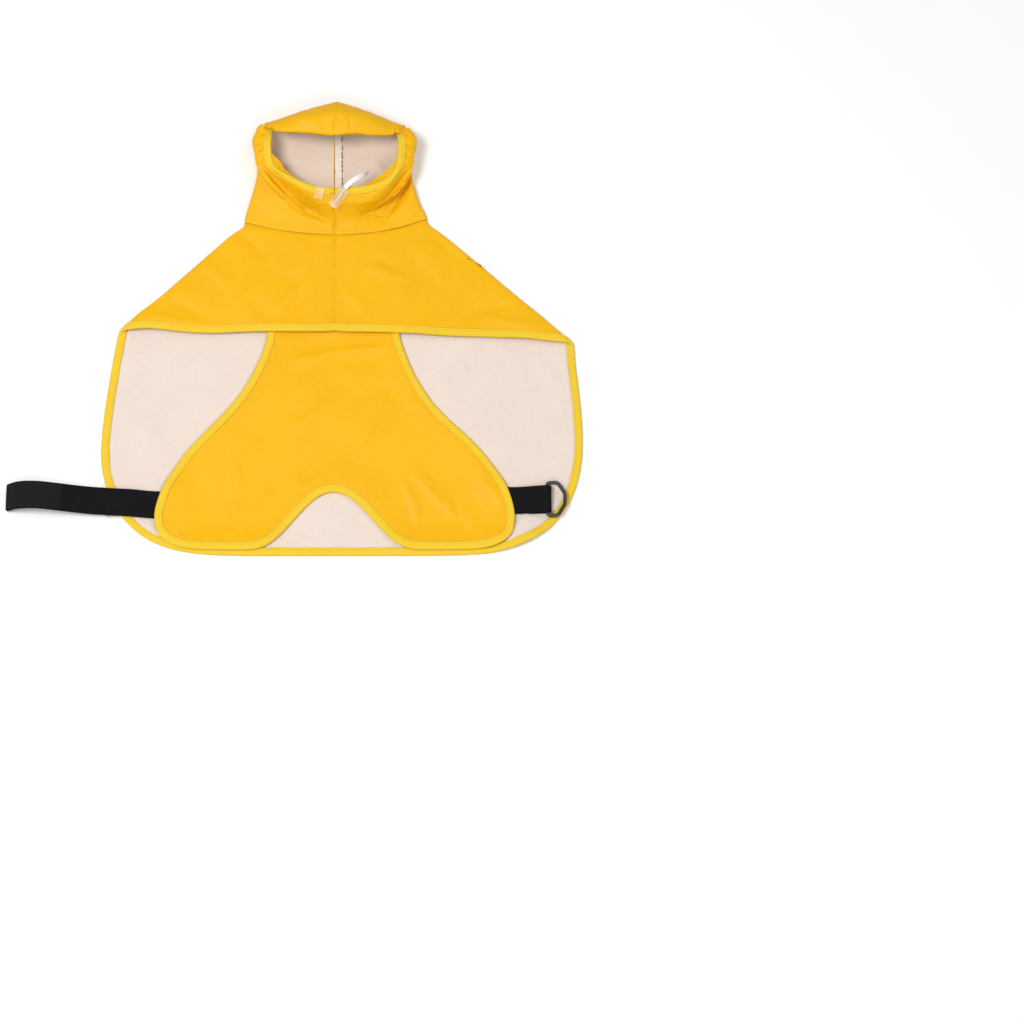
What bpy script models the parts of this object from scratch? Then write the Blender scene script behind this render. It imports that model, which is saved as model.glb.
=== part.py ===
"""Dog raincoat laid flat with its belly side up.

The body is one cut of coated cloth folded over at the shoulders, with a seamed hood, a belly
panel, a leash flap, folded edge tapes, two straps, a ring buckle and the hood's drawcord.
X runs across the garment, +Y towards the hood, Z up from the surface it lies on.
Lengths in the tables and constants are millimetres.
"""

from math import cos, exp, pi, radians, sin

import bpy
import bmesh
from mathutils import Vector

MM = 0.001

# ---- cloth and tape ---------------------------------------------------------------------------
CLOTH = 1.0                # wall of the coated cloth
GAP = 0.3                  # between neighbouring pieces
TAPE_WALL = 1.0            # one layer of the folded edge tape
TAPE_WIDTH = 7.0           # seen width of the folded tape
TAPE_SIDE = TAPE_WALL + GAP            # tape and gap on one side of the cloth
CUT_INSET = TAPE_WALL + GAP            # cloth's cut edge, inside the tape's outer edge
RAIL_INSET = 8.0                       # where the cloth leaves the tape
RAIL_WIDTH = RAIL_INSET - CUT_INSET
EDGE_FALL = 20.0           # width over which a taped edge settles to the surface
FOLD_RADIUS = 2.9          # outer radius of the shoulder folds

# ---- body outline -----------------------------------------------------------------------------
CENTRE_X = -3.0
SHOULDER_LEFT = Vector((-84.0, 99.0))
SHOULDER_RIGHT = Vector((82.5, 101.0))
HEM_CORNER_LEFT = Vector((-194.0, -4.6))
HEM_CORNER_RIGHT = Vector((211.5, -13.0))
HEM_SLANT_LEFT = 8.0       # how far the hem slips along the fold as it turns under
HEM_SLANT_RIGHT = 7.0
NECK_FRONT_Y = 88.0
NECK_BACK_Y = 107.0
NECK_BOW = 2.2
RIGHT_NECK_RISE = 2.5      # the neck seam runs up a little at its right end
HEM_RAIL_Y = 4.2           # centre of the hem where the cloth leaves the tape
HEM_BACK_Y = 0.0
YOKE_HEIGHT = 5.9          # top of the yoke over the bare back panel
YOKE_OVER_BELLY = 7.6      # top of the yoke where the belly panel lies under it

# Sections across yoke and back, from the neck seam to the hem, along the shoulder folds.
YOKE_SECTIONS = [
    {"share": share} for share in (0.0, 0.10, 0.22, 0.35, 0.48, 0.61, 0.74, 0.87, 1.0)
]

# Sections across the back panel below the hem: both ends on the outline, and the middle.
BACK_SECTIONS = [
    {"left_x": -198.2, "left_y": -27, "right_x": 212.2, "right_y": -30, "mid_y": -24, "bow": 2},
    {"left_x": -201.4, "left_y": -50, "right_x": 214.6, "right_y": -52, "mid_y": -48, "bow": 2},
    {"left_x": -204.4, "left_y": -73, "right_x": 216.4, "right_y": -74, "mid_y": -72, "bow": 2},
    {"left_x": -206.6, "left_y": -95, "right_x": 217.4, "right_y": -95, "mid_y": -96, "bow": 2},
    {"left_x": -207.6, "left_y": -115, "right_x": 216.9, "right_y": -115, "mid_y": -120, "bow": 2},
    {"left_x": -205.8, "left_y": -133, "right_x": 214.4, "right_y": -132, "mid_y": -144, "bow": 3},
    {"left_x": -201.6, "left_y": -148, "right_x": 210.2, "right_y": -147, "mid_y": -166, "bow": 4},
    {"left_x": -195.4, "left_y": -162, "right_x": 204.0, "right_y": -161, "mid_y": -184, "bow": 5},
]
TAIL_LEFT = Vector((-187.0, -174.5))
TAIL_RIGHT = Vector((195.5, -173.5))
TAIL_Y = -207.5
TAIL_BOW = 7.0
BACK_SHARES = (-1.0, -0.94, -0.87, -0.78, -0.67, -0.55, -0.42, -0.28, -0.14, -0.04, 0.0)
SEAM_BAND = 3.0            # flat strip beside a seam
NECK_BAND = 4.0            # straight strip on either side of the neck seam
FRONT_SHARES = (0.0, 0.04, 0.2, 0.36, 0.52, 0.68, 0.84, 1.0)
FOLD_STEPS = 6

# The tail's right corner curls up.
CURL_START = Vector((188.0, -183.0))
CURL_END = Vector((140.0, -205.0))
CURL_HEIGHT = 5.0

# ---- belly panel ------------------------------------------------------------------------------
BELLY_SECTIONS = [
    {"y": 22.0, "left": -61.5, "right": 53.5},
    {"y": 7.0, "left": -62.0, "right": 54.0},
    {"y": -8.5, "left": -63.0, "right": 55.3},
    {"y": -24.0, "left": -67.4, "right": 60.6},
    {"y": -39.0, "left": -74.0, "right": 66.4},
    {"y": -54.0, "left": -82.0, "right": 74.5},
    {"y": -69.0, "left": -92.5, "right": 84.2},
    {"y": -84.0, "left": -105.7, "right": 98.4},
    {"y": -99.0, "left": -120.0, "right": 114.7},
    {"y": -114.0, "left": -133.2, "right": 128.4},
    {"y": -129.0, "left": -143.2, "right": 139.4},
    {"y": -143.5, "left": -152.2, "right": 148.4},
    {"y": -157.0, "left": -157.0, "right": 153.0},
    {"y": -170.0, "left": -160.1, "right": 155.7},
]
BELLY_FOOT_LEFT = Vector((-158.5, -186.0))
BELLY_FOOT_RIGHT = Vector((154.0, -187.0))
BELLY_BOTTOM_Y = -203.0
BELLY_CORNER_BOW = 7.0
NOTCH_X = -4.0
NOTCH_HALF = 70.0
NOTCH_HEIGHT = 53.5
BELLY_SHARES = (-1.0, -0.975, -0.94, -0.89, -0.82, -0.73, -0.63, -0.53, -0.44, -0.37, -0.31,
                -0.25, -0.19, -0.13, -0.06, 0.0)
BELLY_STRAIGHT_ROWS = 8    # rows below these bow round the notch
STRAP_CLEAR = 2.4          # strap and gap under the belly panel
STRAP_INNER_END = 138.0    # how far in from the centre line the straps are sewn

# ---- leash flap, under the back of the neck ---------------------------------------------------
FLAP_X = -1.0
FLAP_HALF = 29.5
FLAP_TIP_Y = 35.0
FLAP_THICK = CLOTH + 2 * TAPE_SIDE
FLAP_CLEAR = 9.0           # the back panel stays raised this far past the flap
FLAP_FALL = 18.0
FLAP_ROWS = (105.2, 92.0, 78.0, 64.5)          # straight part, along Y
FLAP_SIDE_TURNS = (14.0, 28.0)                 # degrees round the tip
FLAP_TIP_TURNS = (40.0, 52.0, 65.0, 77.0, 90.0, 103.0, 115.0, 128.0, 140.0)

# ---- hood -------------------------------------------------------------------------------------
# Rings from the neck seam to the lip of the face opening: front middle, side and back middle.
# tilt turns the side's bend from standing to lying, start says where the bend begins.
HOOD_RINGS = [
    {"front_y": 95.0, "front_z": 7.6, "side_x": 76.5, "side_y": 119.0, "side_z": 4.0, "bend": 3.8,
     "tilt": 0, "start": 0, "back_y": 130.0, "back_z": 0.0, "cup": 0.05, "roof": 0.0},
    {"front_y": 97.2, "front_z": 8.2, "side_x": 73.8, "side_y": 129.0, "side_z": 5.0, "bend": 4.6,
     "tilt": 0, "start": 0, "back_y": 150.0, "back_z": 0.0, "cup": 0.15, "roof": 0.1},
    {"front_y": 99.4, "front_z": 9.2, "side_x": 71.0, "side_y": 138.0, "side_z": 6.6, "bend": 5.3,
     "tilt": 0, "start": 0, "back_y": 170.0, "back_z": 0.2, "cup": 0.30, "roof": 0.2},
    {"front_y": 101.6, "front_z": 10.6, "side_x": 69.4, "side_y": 147.5, "side_z": 9.0, "bend": 5.8,
     "tilt": 0, "start": 0, "back_y": 186.0, "back_z": 3.6, "cup": 0.45, "roof": 0.3},
    {"front_y": 103.8, "front_z": 12.4, "side_x": 70.4, "side_y": 156.0, "side_z": 12.6, "bend": 6.0,
     "tilt": 10, "start": 8, "back_y": 197.0, "back_z": 12.5, "cup": 0.60, "roof": 0.4},
    {"front_y": 106.0, "front_z": 14.6, "side_x": 73.4, "side_y": 163.5, "side_z": 17.0, "bend": 6.3,
     "tilt": 30, "start": 22, "back_y": 202.5, "back_z": 24.5, "cup": 0.75, "roof": 0.45},
    {"front_y": 108.3, "front_z": 17.0, "side_x": 74.9, "side_y": 169.5, "side_z": 22.0, "bend": 7.2,
     "tilt": 55, "start": 45, "back_y": 203.0, "back_z": 37.0, "cup": 0.88, "roof": 0.5},
    {"front_y": 110.6, "front_z": 19.4, "side_x": 73.6, "side_y": 171.5, "side_z": 27.6, "bend": 10.0,
     "tilt": 75, "start": 70, "rise": 3.0, "back_y": 189.0, "back_z": 46.5, "cup": 0.96, "roof": 0.6},
    {"front_y": 113.0, "front_z": 21.6, "side_x": 70.4, "side_y": 162.5, "side_z": 29.5, "bend": 16.0,
     "tilt": 90, "start": 90, "rise": 7.0, "back_y": 170.8, "back_z": 43.5, "cup": 1.0, "roof": 0.85},
]
LIP_TO_RAIL = 5.8          # lip of the opening to the line where its tape begins
THROAT_RAIL_PITCH = radians(24.0)
THROAT_TAPE_PITCH = radians(14.0)
CORNER_RAIL_TURN = radians(84.0)       # turned from straight up, towards the throat
CORNER_TAPE_TURN = radians(96.0)
BRIM_RAIL_TURN = radians(195.0)        # the brim is rolled under
BRIM_TAPE_TURN = radians(225.0)
BRIM_ROLL_POWER = 1.8
HOOD_CUP_POWER = 2.7
HOOD_ROOF_POWER = 8.0
LEFT_LIP_RISE = 7.5        # the opening's left lip lies further up than the right one
# Folds pressed into the throat: from the hood's corner down to the middle.
THROAT_FOLDS = [
    {"from_x": -66.0, "from_y": 147.0, "to_x": -16.0, "to_y": 103.0, "depth": 4.0, "width": 7.0},
    {"from_x": 63.0, "from_y": 150.0, "to_x": 18.0, "to_y": 97.0, "depth": 4.5, "width": 7.0},
]
ALLOWANCE_WIDTH = 6.3
ALLOWANCE_WALL = 0.8
ALLOWANCE_LIFT = CLOTH + GAP + ALLOWANCE_WALL
ALLOWANCE_RINGS = (1, 9)   # first and last hood ring it is drawn over

# ---- straps and ring --------------------------------------------------------------------------
WEB_WIDTH = 25.0
WEB_THICK = 1.6
STRAP_SIDE_LINE = [        # long strap, seen from the side: place along X and height of its middle
    {"x": -138.0, "z": 2.5}, {"x": -150.0, "z": 2.5}, {"x": -161.0, "z": 2.6},
    {"x": -168.0, "z": 3.4}, {"x": -175.0, "z": 4.9}, {"x": -183.0, "z": 5.8},
    {"x": -198.0, "z": 7.2}, {"x": -212.0, "z": 10.0}, {"x": -226.0, "z": 13.4},
    {"x": -240.0, "z": 16.6}, {"x": -253.0, "z": 18.7}, {"x": -264.0, "z": 18.9},
    {"x": -273.0, "z": 16.0}, {"x": -280.5, "z": 10.4}, {"x": -286.5, "z": 2.0},
]
STRAP_Y_AT_BODY = -162.9
STRAP_Y_AT_TIP = -155.5
PATCH_LENGTH = 46.0
PATCH_THICK = 0.8
PATCH_WIDTH = 23.0

RING_BAR_X = 184.5
RING_BAR_Y = -157.8
RING_BAR_Z = 7.0
RING_WIRE = 3.6
RING_HALF = 14.9           # bar to the middle of the side arms
RING_SHOULDER = 9.0        # how far the side arms run before they turn in
RING_APEX = 15.5           # from the bar to the middle of the blunt tip
RING_TIP_HALF = 4.6
RING_ROUND = 2.2
RING_LIFT = radians(10.0)  # the ring rests on the back panel's edge
WEB_LOOP = RING_WIRE / 2 + GAP + WEB_THICK / 2
SHORT_STRAP_TOP = [        # upper layer, seen from the side, up to the ring's bar
    {"x": 134.0, "z": 2.5}, {"x": 146.0, "z": 2.5}, {"x": 157.0, "z": 2.6}, {"x": 163.0, "z": 3.9},
    {"x": 169.0, "z": 5.6}, {"x": 175.0, "z": 7.5}, {"x": 180.0, "z": 9.1},
]
SHORT_STRAP_UNDER = [      # turned back under itself, from the bar to its end
    {"x": 178.0, "z": 3.6}, {"x": 172.0, "z": 3.0}, {"x": 166.0, "z": 2.7},
]

# ---- drawcord ---------------------------------------------------------------------------------
CORD_THICK = 2.4
LOCK_LENGTH = 20.0
LOCK_WIDTH = 8.5
LOCK_HEIGHT = 6.0
LOCK_MIDDLE = Vector((0.4, 114.8, 28.45))
LOCK_TURN = radians(-36.0)
LOCK_PITCH = radians(10.0)
CORD_ROUTE = [(6.4, 123.1, 30.3), (8.4, 125.8, 31.1), (11.4, 128.6, 31.9), (14.9, 131.2, 31.9),
              (18.3, 133.7, 30.9), (21.3, 136.2, 28.7), (23.8, 138.7, 25.6), (25.6, 140.8, 21.6),
              (26.2, 141.5, 19.6)]
TAB_MIDDLE = Vector((-16.6, 119.9, 27.1))
TAB_SIZE = (7.6, 11.0, 1.8)
TAB_TURN = radians(-12.0)
TAB_PITCH = radians(14.0)

COATED_YELLOW = {"colour": (0.93, 0.50, 0.012, 1), "roughness": 0.42}
TAPE_YELLOW = {"colour": (0.96, 0.64, 0.03, 1), "roughness": 0.55}
CREAM = {"colour": (0.87, 0.78, 0.70, 1), "roughness": 0.7}
WEBBING = {"colour": (0.012, 0.012, 0.013, 1), "roughness": 0.75}
MOULDED_BLACK = {"colour": (0.012, 0.013, 0.016, 1), "roughness": 0.32}
CORD_WHITE = {"colour": (0.85, 0.83, 0.82, 1), "roughness": 0.6}
CLEAR = {"colour": (0.85, 0.83, 0.78, 1), "roughness": 0.15}


# ---- small helpers ----------------------------------------------------------------------------
def clear_scene():
    for thing in list(bpy.data.objects):
        bpy.data.objects.remove(thing, do_unlink=True)


def new_collection(name):
    collection = bpy.data.collections.new(name)
    bpy.context.scene.collection.children.link(collection)
    return collection


def material(name, colour, roughness):
    found = bpy.data.materials.get(name)
    if found:
        return found
    made = bpy.data.materials.new(name)
    made.use_nodes = True
    shader = made.node_tree.nodes["Principled BSDF"]
    shader.inputs["Base Color"].default_value = colour
    shader.inputs["Roughness"].default_value = roughness
    shader.inputs["Metallic"].default_value = 0.0
    made.diffuse_color = colour
    return made


def ease(share):
    share = min(1.0, max(0.0, share))
    return share * share * (3.0 - 2.0 * share)


def mix(first, second, share):
    return first + (second - first) * share


def hump(distance, width):
    return exp(-(distance / width) ** 2)


def flat(point):
    return Vector((point[0], point[1]))


def distance_to_line(point, line):
    """Shortest distance in plan from a point to a line of points."""
    best = 1e9
    for start, end in zip(line, line[1:]):
        along = end - start
        share = (point - start).dot(along) / max(along.length_squared, 1e-9)
        share = min(1.0, max(0.0, share))
        best = min(best, (point - start - along * share).length)
    return best


def make_object(name, mesh_points, faces, look, parts):
    """A mesh object from points in millimetres."""
    mesh = bpy.data.meshes.new(name)
    mesh.from_pydata([Vector(point) * MM for point in mesh_points], [], faces)
    mesh.update()
    made = bpy.data.objects.new(name, mesh)
    made.data.materials.append(material(name + "_look", look["colour"], look["roughness"]))
    parts.objects.link(made)
    for polygon in mesh.polygons:
        polygon.use_smooth = True
    mesh.set_sharp_from_angle(angle=radians(50))
    return made


def give_wall(cloth, thickness):
    """The drawn face is the coated side: the wall grows behind it."""
    wall = cloth.modifiers.new("wall", "SOLIDIFY")
    wall.thickness = thickness * MM
    wall.offset = -1.0
    wall.use_rim = True
    split = cloth.modifiers.new("even triangles", "TRIANGULATE")
    split.quad_method = "BEAUTY"


class Sheet:
    """A net of points and four-sided faces, drawn on the coated side of one piece of cloth."""

    def __init__(self):
        self.points = []
        self.faces = []

    def add(self, point):
        self.points.append(Vector(point))
        return len(self.points) - 1

    def add_row(self, points):
        return [self.add(point) for point in points]

    def join(self, row, next_row):
        for here, there in zip(zip(row, row[1:]), zip(next_row, next_row[1:])):
            self.faces.append((here[0], here[1], there[1], there[0]))


def tape(name, cut_edge, rail, coated, closed, look, parts):
    """Edge tape folded round the cloth between its cut edge and its rail.

    coated holds the coated side's normal at each station; the two lines are on the coated side.
    """
    half = CLOTH / 2 + GAP
    out = half + TAPE_WALL
    corner = 0.7
    section = [(TAPE_WIDTH, out), (corner, out), (0.0, out - corner), (0.0, corner - out),
               (corner, -out), (TAPE_WIDTH, -out), (TAPE_WIDTH, -half), (TAPE_WALL, -half),
               (TAPE_WALL, half), (TAPE_WIDTH, half)]
    points = []
    for edge, inner, normal in zip(cut_edge, rail, coated):
        across = (inner - edge) / RAIL_WIDTH
        middle = edge - normal * (CLOTH / 2)
        for inset, rise in section:
            spot = middle + across * (inset - CUT_INSET) + normal * rise
            points.append(Vector((spot.x, spot.y, max(spot.z, 0.0))))
    count = len(section)
    stations = len(cut_edge)
    faces = []
    for station in range(stations if closed else stations - 1):
        here = station * count
        there = ((station + 1) % stations) * count
        for corner_index in range(count):
            following = (corner_index + 1) % count
            faces.append((here + corner_index, here + following,
                          there + following, there + corner_index))
    if not closed:
        last = (stations - 1) * count
        for cap in ((0, 1, 8, 9), (1, 2, 3, 4, 7, 8), (4, 5, 6, 7)):
            faces.append(tuple(reversed(cap)))
            faces.append(tuple(last + corner_index for corner_index in cap))
    made = make_object(name, points, faces, look, parts)
    face_outwards(made)
    split = made.modifiers.new("even triangles", "TRIANGULATE")
    split.quad_method = "BEAUTY"
    return made


def face_outwards(made):
    shape = bmesh.new()
    shape.from_mesh(made.data)
    bmesh.ops.recalc_face_normals(shape, faces=shape.faces)
    if shape.calc_volume(signed=True) < 0:
        bmesh.ops.reverse_faces(shape, faces=shape.faces)
    shape.to_mesh(made.data)
    shape.free()


def station_normals(cloth, cut_edge, rail):
    """Coated side's normal at each station of a taped edge, from the cloth's own points."""
    points = cloth.data.vertices
    return [(points[cut].normal * 6.0 + points[inner].normal).normalized()
            for cut, inner in zip(cut_edge, rail)]


# ---- heights of the layers --------------------------------------------------------------------
def flap_distance(x, y):
    """Distance in plan outside the leash flap's outline, 0 over the flap."""
    centre_y = FLAP_TIP_Y + FLAP_HALF
    if y < centre_y:
        return max(0.0, Vector((x - FLAP_X, y - centre_y)).length - FLAP_HALF)
    beyond_x = max(0.0, abs(x - FLAP_X) - FLAP_HALF)
    beyond_y = max(0.0, y - NECK_BACK_Y)
    return Vector((beyond_x, beyond_y)).length


def flap_rise(x, y, wider=0.0):
    height = FLAP_THICK + GAP
    beyond = flap_distance(x, y) - FLAP_CLEAR - wider
    return height * (1.0 - ease(beyond / (FLAP_FALL + wider)))


def edge_rise(distance):
    """A taped edge carries the cloth above the surface by one layer of tape."""
    return TAPE_SIDE * (1.0 - ease((distance - RAIL_INSET - 1.0) / EDGE_FALL))


def back_height(point, outline):
    distance = distance_to_line(flat(point), outline)
    curl = CURL_HEIGHT * curl_share(point) * (1.0 - ease(distance / 20.0)) if distance < 20 else 0.0
    return max(edge_rise(distance) + curl, flap_rise(point[0], point[1]))


def curl_share(point, wider=0.0):
    """1 along the curled tail corner, 0 past both its ends."""
    along = CURL_END - CURL_START
    share = (flat(point) - CURL_START).dot(along) / along.length_squared
    share = (share + wider) / (1.0 + 2.0 * wider)
    if share <= 0.0 or share >= 1.0:
        return 0.0
    return sin(pi * share)


def yoke_height(x, y):
    over_belly = 1.0 - ease((abs(x - NOTCH_X) - 74.0) / 26.0)
    over_belly *= 1.0 - ease((y - 32.0) / 22.0)
    over_flap = 1.0 - ease((flap_distance(x, y) - FLAP_CLEAR) / FLAP_FALL)
    raised = max(over_belly, over_flap * 0.75)
    lie = mix(YOKE_HEIGHT, YOKE_OVER_BELLY, raised)
    sway = 0.35 * sin(x * 0.055 + 0.6) * sin(y * 0.04)
    return lie + sway * (1.0 - raised)


# ---- body -------------------------------------------------------------------------------------
def shoulder(side, share):
    """Silhouette of one shoulder, its direction to the hem and its way out, in plan."""
    start, end = ((SHOULDER_LEFT, HEM_CORNER_LEFT) if side < 0
                  else (SHOULDER_RIGHT, HEM_CORNER_RIGHT))
    direction = (end - start).normalized()
    reach = (end - start).length - (RAIL_WIDTH + CUT_INSET) / abs(direction.y)
    outwards = Vector((direction.y, -direction.x)) * (1 if side < 0 else -1)
    if outwards.x * side < 0:
        outwards = -outwards
    place = start + direction * reach * share
    if side > 0:
        place = place + Vector((-2.0, RIGHT_NECK_RISE)) * (1.0 - ease(share / 0.1))
    outwards = mix(Vector((side, 0.0)), outwards, ease(share / 0.22)).normalized()
    return place, direction, outwards


def fold_points(side, share, outline):
    """Points round one shoulder fold, from the yoke over to the back panel."""
    place, direction, outwards = shoulder(side, share)
    slant = (HEM_SLANT_LEFT if side < 0 else HEM_SLANT_RIGHT) * share
    centre = place - outwards * FOLD_RADIUS
    points = []
    for step in range(FOLD_STEPS + 1):
        turn = pi * step / FOLD_STEPS
        slip = direction * slant * (step / FOLD_STEPS - 0.5)
        spot = centre + slip + outwards * FOLD_RADIUS * sin(turn)
        base = back_height(spot, outline)
        points.append(Vector((spot.x, spot.y, base + FOLD_RADIUS * (1.0 + cos(turn)))))
    return points


def front_row(side, share, first_fold_point):
    """Yoke points from the centre seam to the fold."""
    seam_x = CENTRE_X + side * GAP / 2
    middle_y = mix(NECK_FRONT_Y, HEM_RAIL_Y, share)
    points = []
    for part in FRONT_SHARES[:-1]:
        x = mix(seam_x, first_fold_point.x, part)
        y = mix(middle_y, first_fold_point.y, part ** NECK_BOW)
        settle = ease((1.0 - part) / 0.28)
        points.append(Vector((x, y, mix(first_fold_point.z, yoke_height(x, y), settle))))
    return points


def across_back(left, right, middle_y, bow, outline):
    """Back panel points between two end points, left to right."""
    shares = list(BACK_SHARES) + [-share for share in reversed(BACK_SHARES[:-1])]
    points = []
    for share in shares:
        end = left if share < 0 else right
        x = mix(left.x, right.x, (share + 1.0) / 2.0)
        y = mix(middle_y, end.y, abs(share) ** bow)
        points.append(Vector((x, y, back_height((x, y), outline))))
    return points


def tail_curve():
    """The tail's outer edge from corner to corner."""
    shares = list(BACK_SHARES) + [-share for share in reversed(BACK_SHARES[:-1])]
    points = []
    for share in shares:
        end = TAIL_LEFT if share < 0 else TAIL_RIGHT
        x = mix(TAIL_LEFT.x, TAIL_RIGHT.x, (share + 1.0) / 2.0)
        points.append(Vector((x, mix(TAIL_Y, end.y, abs(share) ** TAIL_BOW))))
    return points


def inwards_normals(line):
    """Unit normals to the left of a line that runs round a piece, in plan."""
    normals = []
    for index, point in enumerate(line):
        before = line[max(index - 1, 0)]
        after = line[min(index + 1, len(line) - 1)]
        along = (after - before).normalized()
        normals.append(Vector((-along.y, along.x)))
    return normals


def back_outline():
    """Outer edge of the back panel in plan: left side down, tail, right side up."""
    left = [Vector((row["left_x"], row["left_y"])) for row in BACK_SECTIONS]
    right = [Vector((row["right_x"], row["right_y"])) for row in reversed(BACK_SECTIONS)]
    return left + tail_curve() + right


def body_net():
    """The body's sheet with its rows and the two lines of its taped edge."""
    outer = back_outline()
    normals = inwards_normals(outer)
    cut = [point + normal * CUT_INSET for point, normal in zip(outer, normals)]
    rail = [point + normal * RAIL_INSET for point, normal in zip(outer, normals)]
    top_left = fold_end_in_plan(-1)
    top_right = fold_end_in_plan(1)
    outline = [top_left] + outer + [top_right]

    sheet = Sheet()
    whole_rows = []
    for section in YOKE_SECTIONS:
        share = section["share"]
        left_fold = fold_points(-1, share, outline)
        right_fold = fold_points(1, share, outline)
        back_middle = mix(NECK_BACK_Y, HEM_BACK_Y, share)
        back = across_back(left_fold[-1], right_fold[-1], back_middle, 2.0, outline)
        row = front_row(-1, share, left_fold[0]) + left_fold[:-1] + back
        row += list(reversed(right_fold[:-1])) + list(reversed(front_row(1, share, right_fold[0])))
        whole_rows.append(sheet.add_row(row))
        if share == 0.0:
            band = [point - Vector((0.0, NECK_BAND, 0.0)) for point in row]
            whole_rows.append(sheet.add_row(band))
    first_back = len(FRONT_SHARES) - 1 + FOLD_STEPS
    back_count = 2 * len(BACK_SHARES) - 1

    lower_rows = []
    sections = len(BACK_SECTIONS)
    for index, section in enumerate(BACK_SECTIONS):
        left = rail[index]
        right = rail[len(rail) - 1 - index]
        points = across_back(left, right, section["mid_y"], section["bow"], outline)
        lower_rows.append(sheet.add_row(points))
    tail = [Vector((point.x, point.y, back_height(point, outline)))
            for point in rail[sections:sections + back_count]]
    lower_rows.append(sheet.add_row(tail))

    for row, next_row in zip(whole_rows, whole_rows[1:]):
        sheet.join(row, next_row)
    back_part = whole_rows[-1][first_back:first_back + back_count]
    for row, next_row in zip([back_part] + lower_rows, lower_rows):
        sheet.join(row, next_row)

    loop = whole_rows[-1][:first_back + 1]
    loop += [row[0] for row in lower_rows[:-1]] + lower_rows[-1]
    loop += [row[-1] for row in reversed(lower_rows[:-1])]
    loop += whole_rows[-1][first_back + back_count - 1:]
    cut_points = hem_cut_points(sheet, whole_rows[-1][:first_back + 1], -1)
    cut_points += [Vector((point.x, point.y, back_height(point, outline))) for point in cut]
    right_end = list(reversed(whole_rows[-1][first_back + back_count - 1:]))
    cut_points += list(reversed(hem_cut_points(sheet, right_end, 1)))
    flange = sheet.add_row(cut_points)
    sheet.join(loop, flange)
    return sheet, whole_rows, loop, flange


def fold_end_in_plan(side):
    """Where the taped edge leaves the shoulder fold on the back panel."""
    place, direction, outwards = shoulder(side, 1.0)
    slant = HEM_SLANT_LEFT if side < 0 else HEM_SLANT_RIGHT
    return place - outwards * FOLD_RADIUS + direction * (slant / 2 + RAIL_INSET / abs(direction.y))


def hem_cut_points(sheet, rail_row, side):
    """The hem's cut edge beyond its rail, turning with the fold at its outer end."""
    direction = shoulder(side, 1.0)[1]
    along_fold = Vector((direction.x, direction.y, 0.0)) / abs(direction.y)
    points = []
    fronts = len(FRONT_SHARES) - 1
    for order, index in enumerate(rail_row):
        turn = ease((order / fronts - 0.62) / 0.38)
        way = mix(Vector((0.0, -1.0, 0.0)), along_fold, turn)
        points.append(sheet.points[index] + way * RAIL_WIDTH)
    return points


def build_body(parts):
    sheet, whole_rows, loop, flange = body_net()
    cloth = make_object("body", sheet.points, sheet.faces, COATED_YELLOW, parts)
    give_wall(cloth, CLOTH)
    rail = [sheet.points[index] for index in loop]
    cut = [sheet.points[index] for index in flange]
    tape("body_binding", cut, rail, station_normals(cloth, flange, loop), True, TAPE_YELLOW, parts)
    return [sheet.points[index] for index in whole_rows[0]]


# ---- hood -------------------------------------------------------------------------------------
def throat_fold_depth(x, y):
    depth = 0.0
    for fold in THROAT_FOLDS:
        start = Vector((fold["from_x"], fold["from_y"]))
        end = Vector((fold["to_x"], fold["to_y"]))
        along = end - start
        share = (Vector((x, y)) - start).dot(along) / along.length_squared
        fade = ease((share + 0.1) / 0.3) * (1.0 - ease((share - 0.75) / 0.35))
        away = distance_to_line(Vector((x, y)), [start, end])
        depth += fold["depth"] * fade * hump(away, fold["width"])
    return depth


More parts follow.
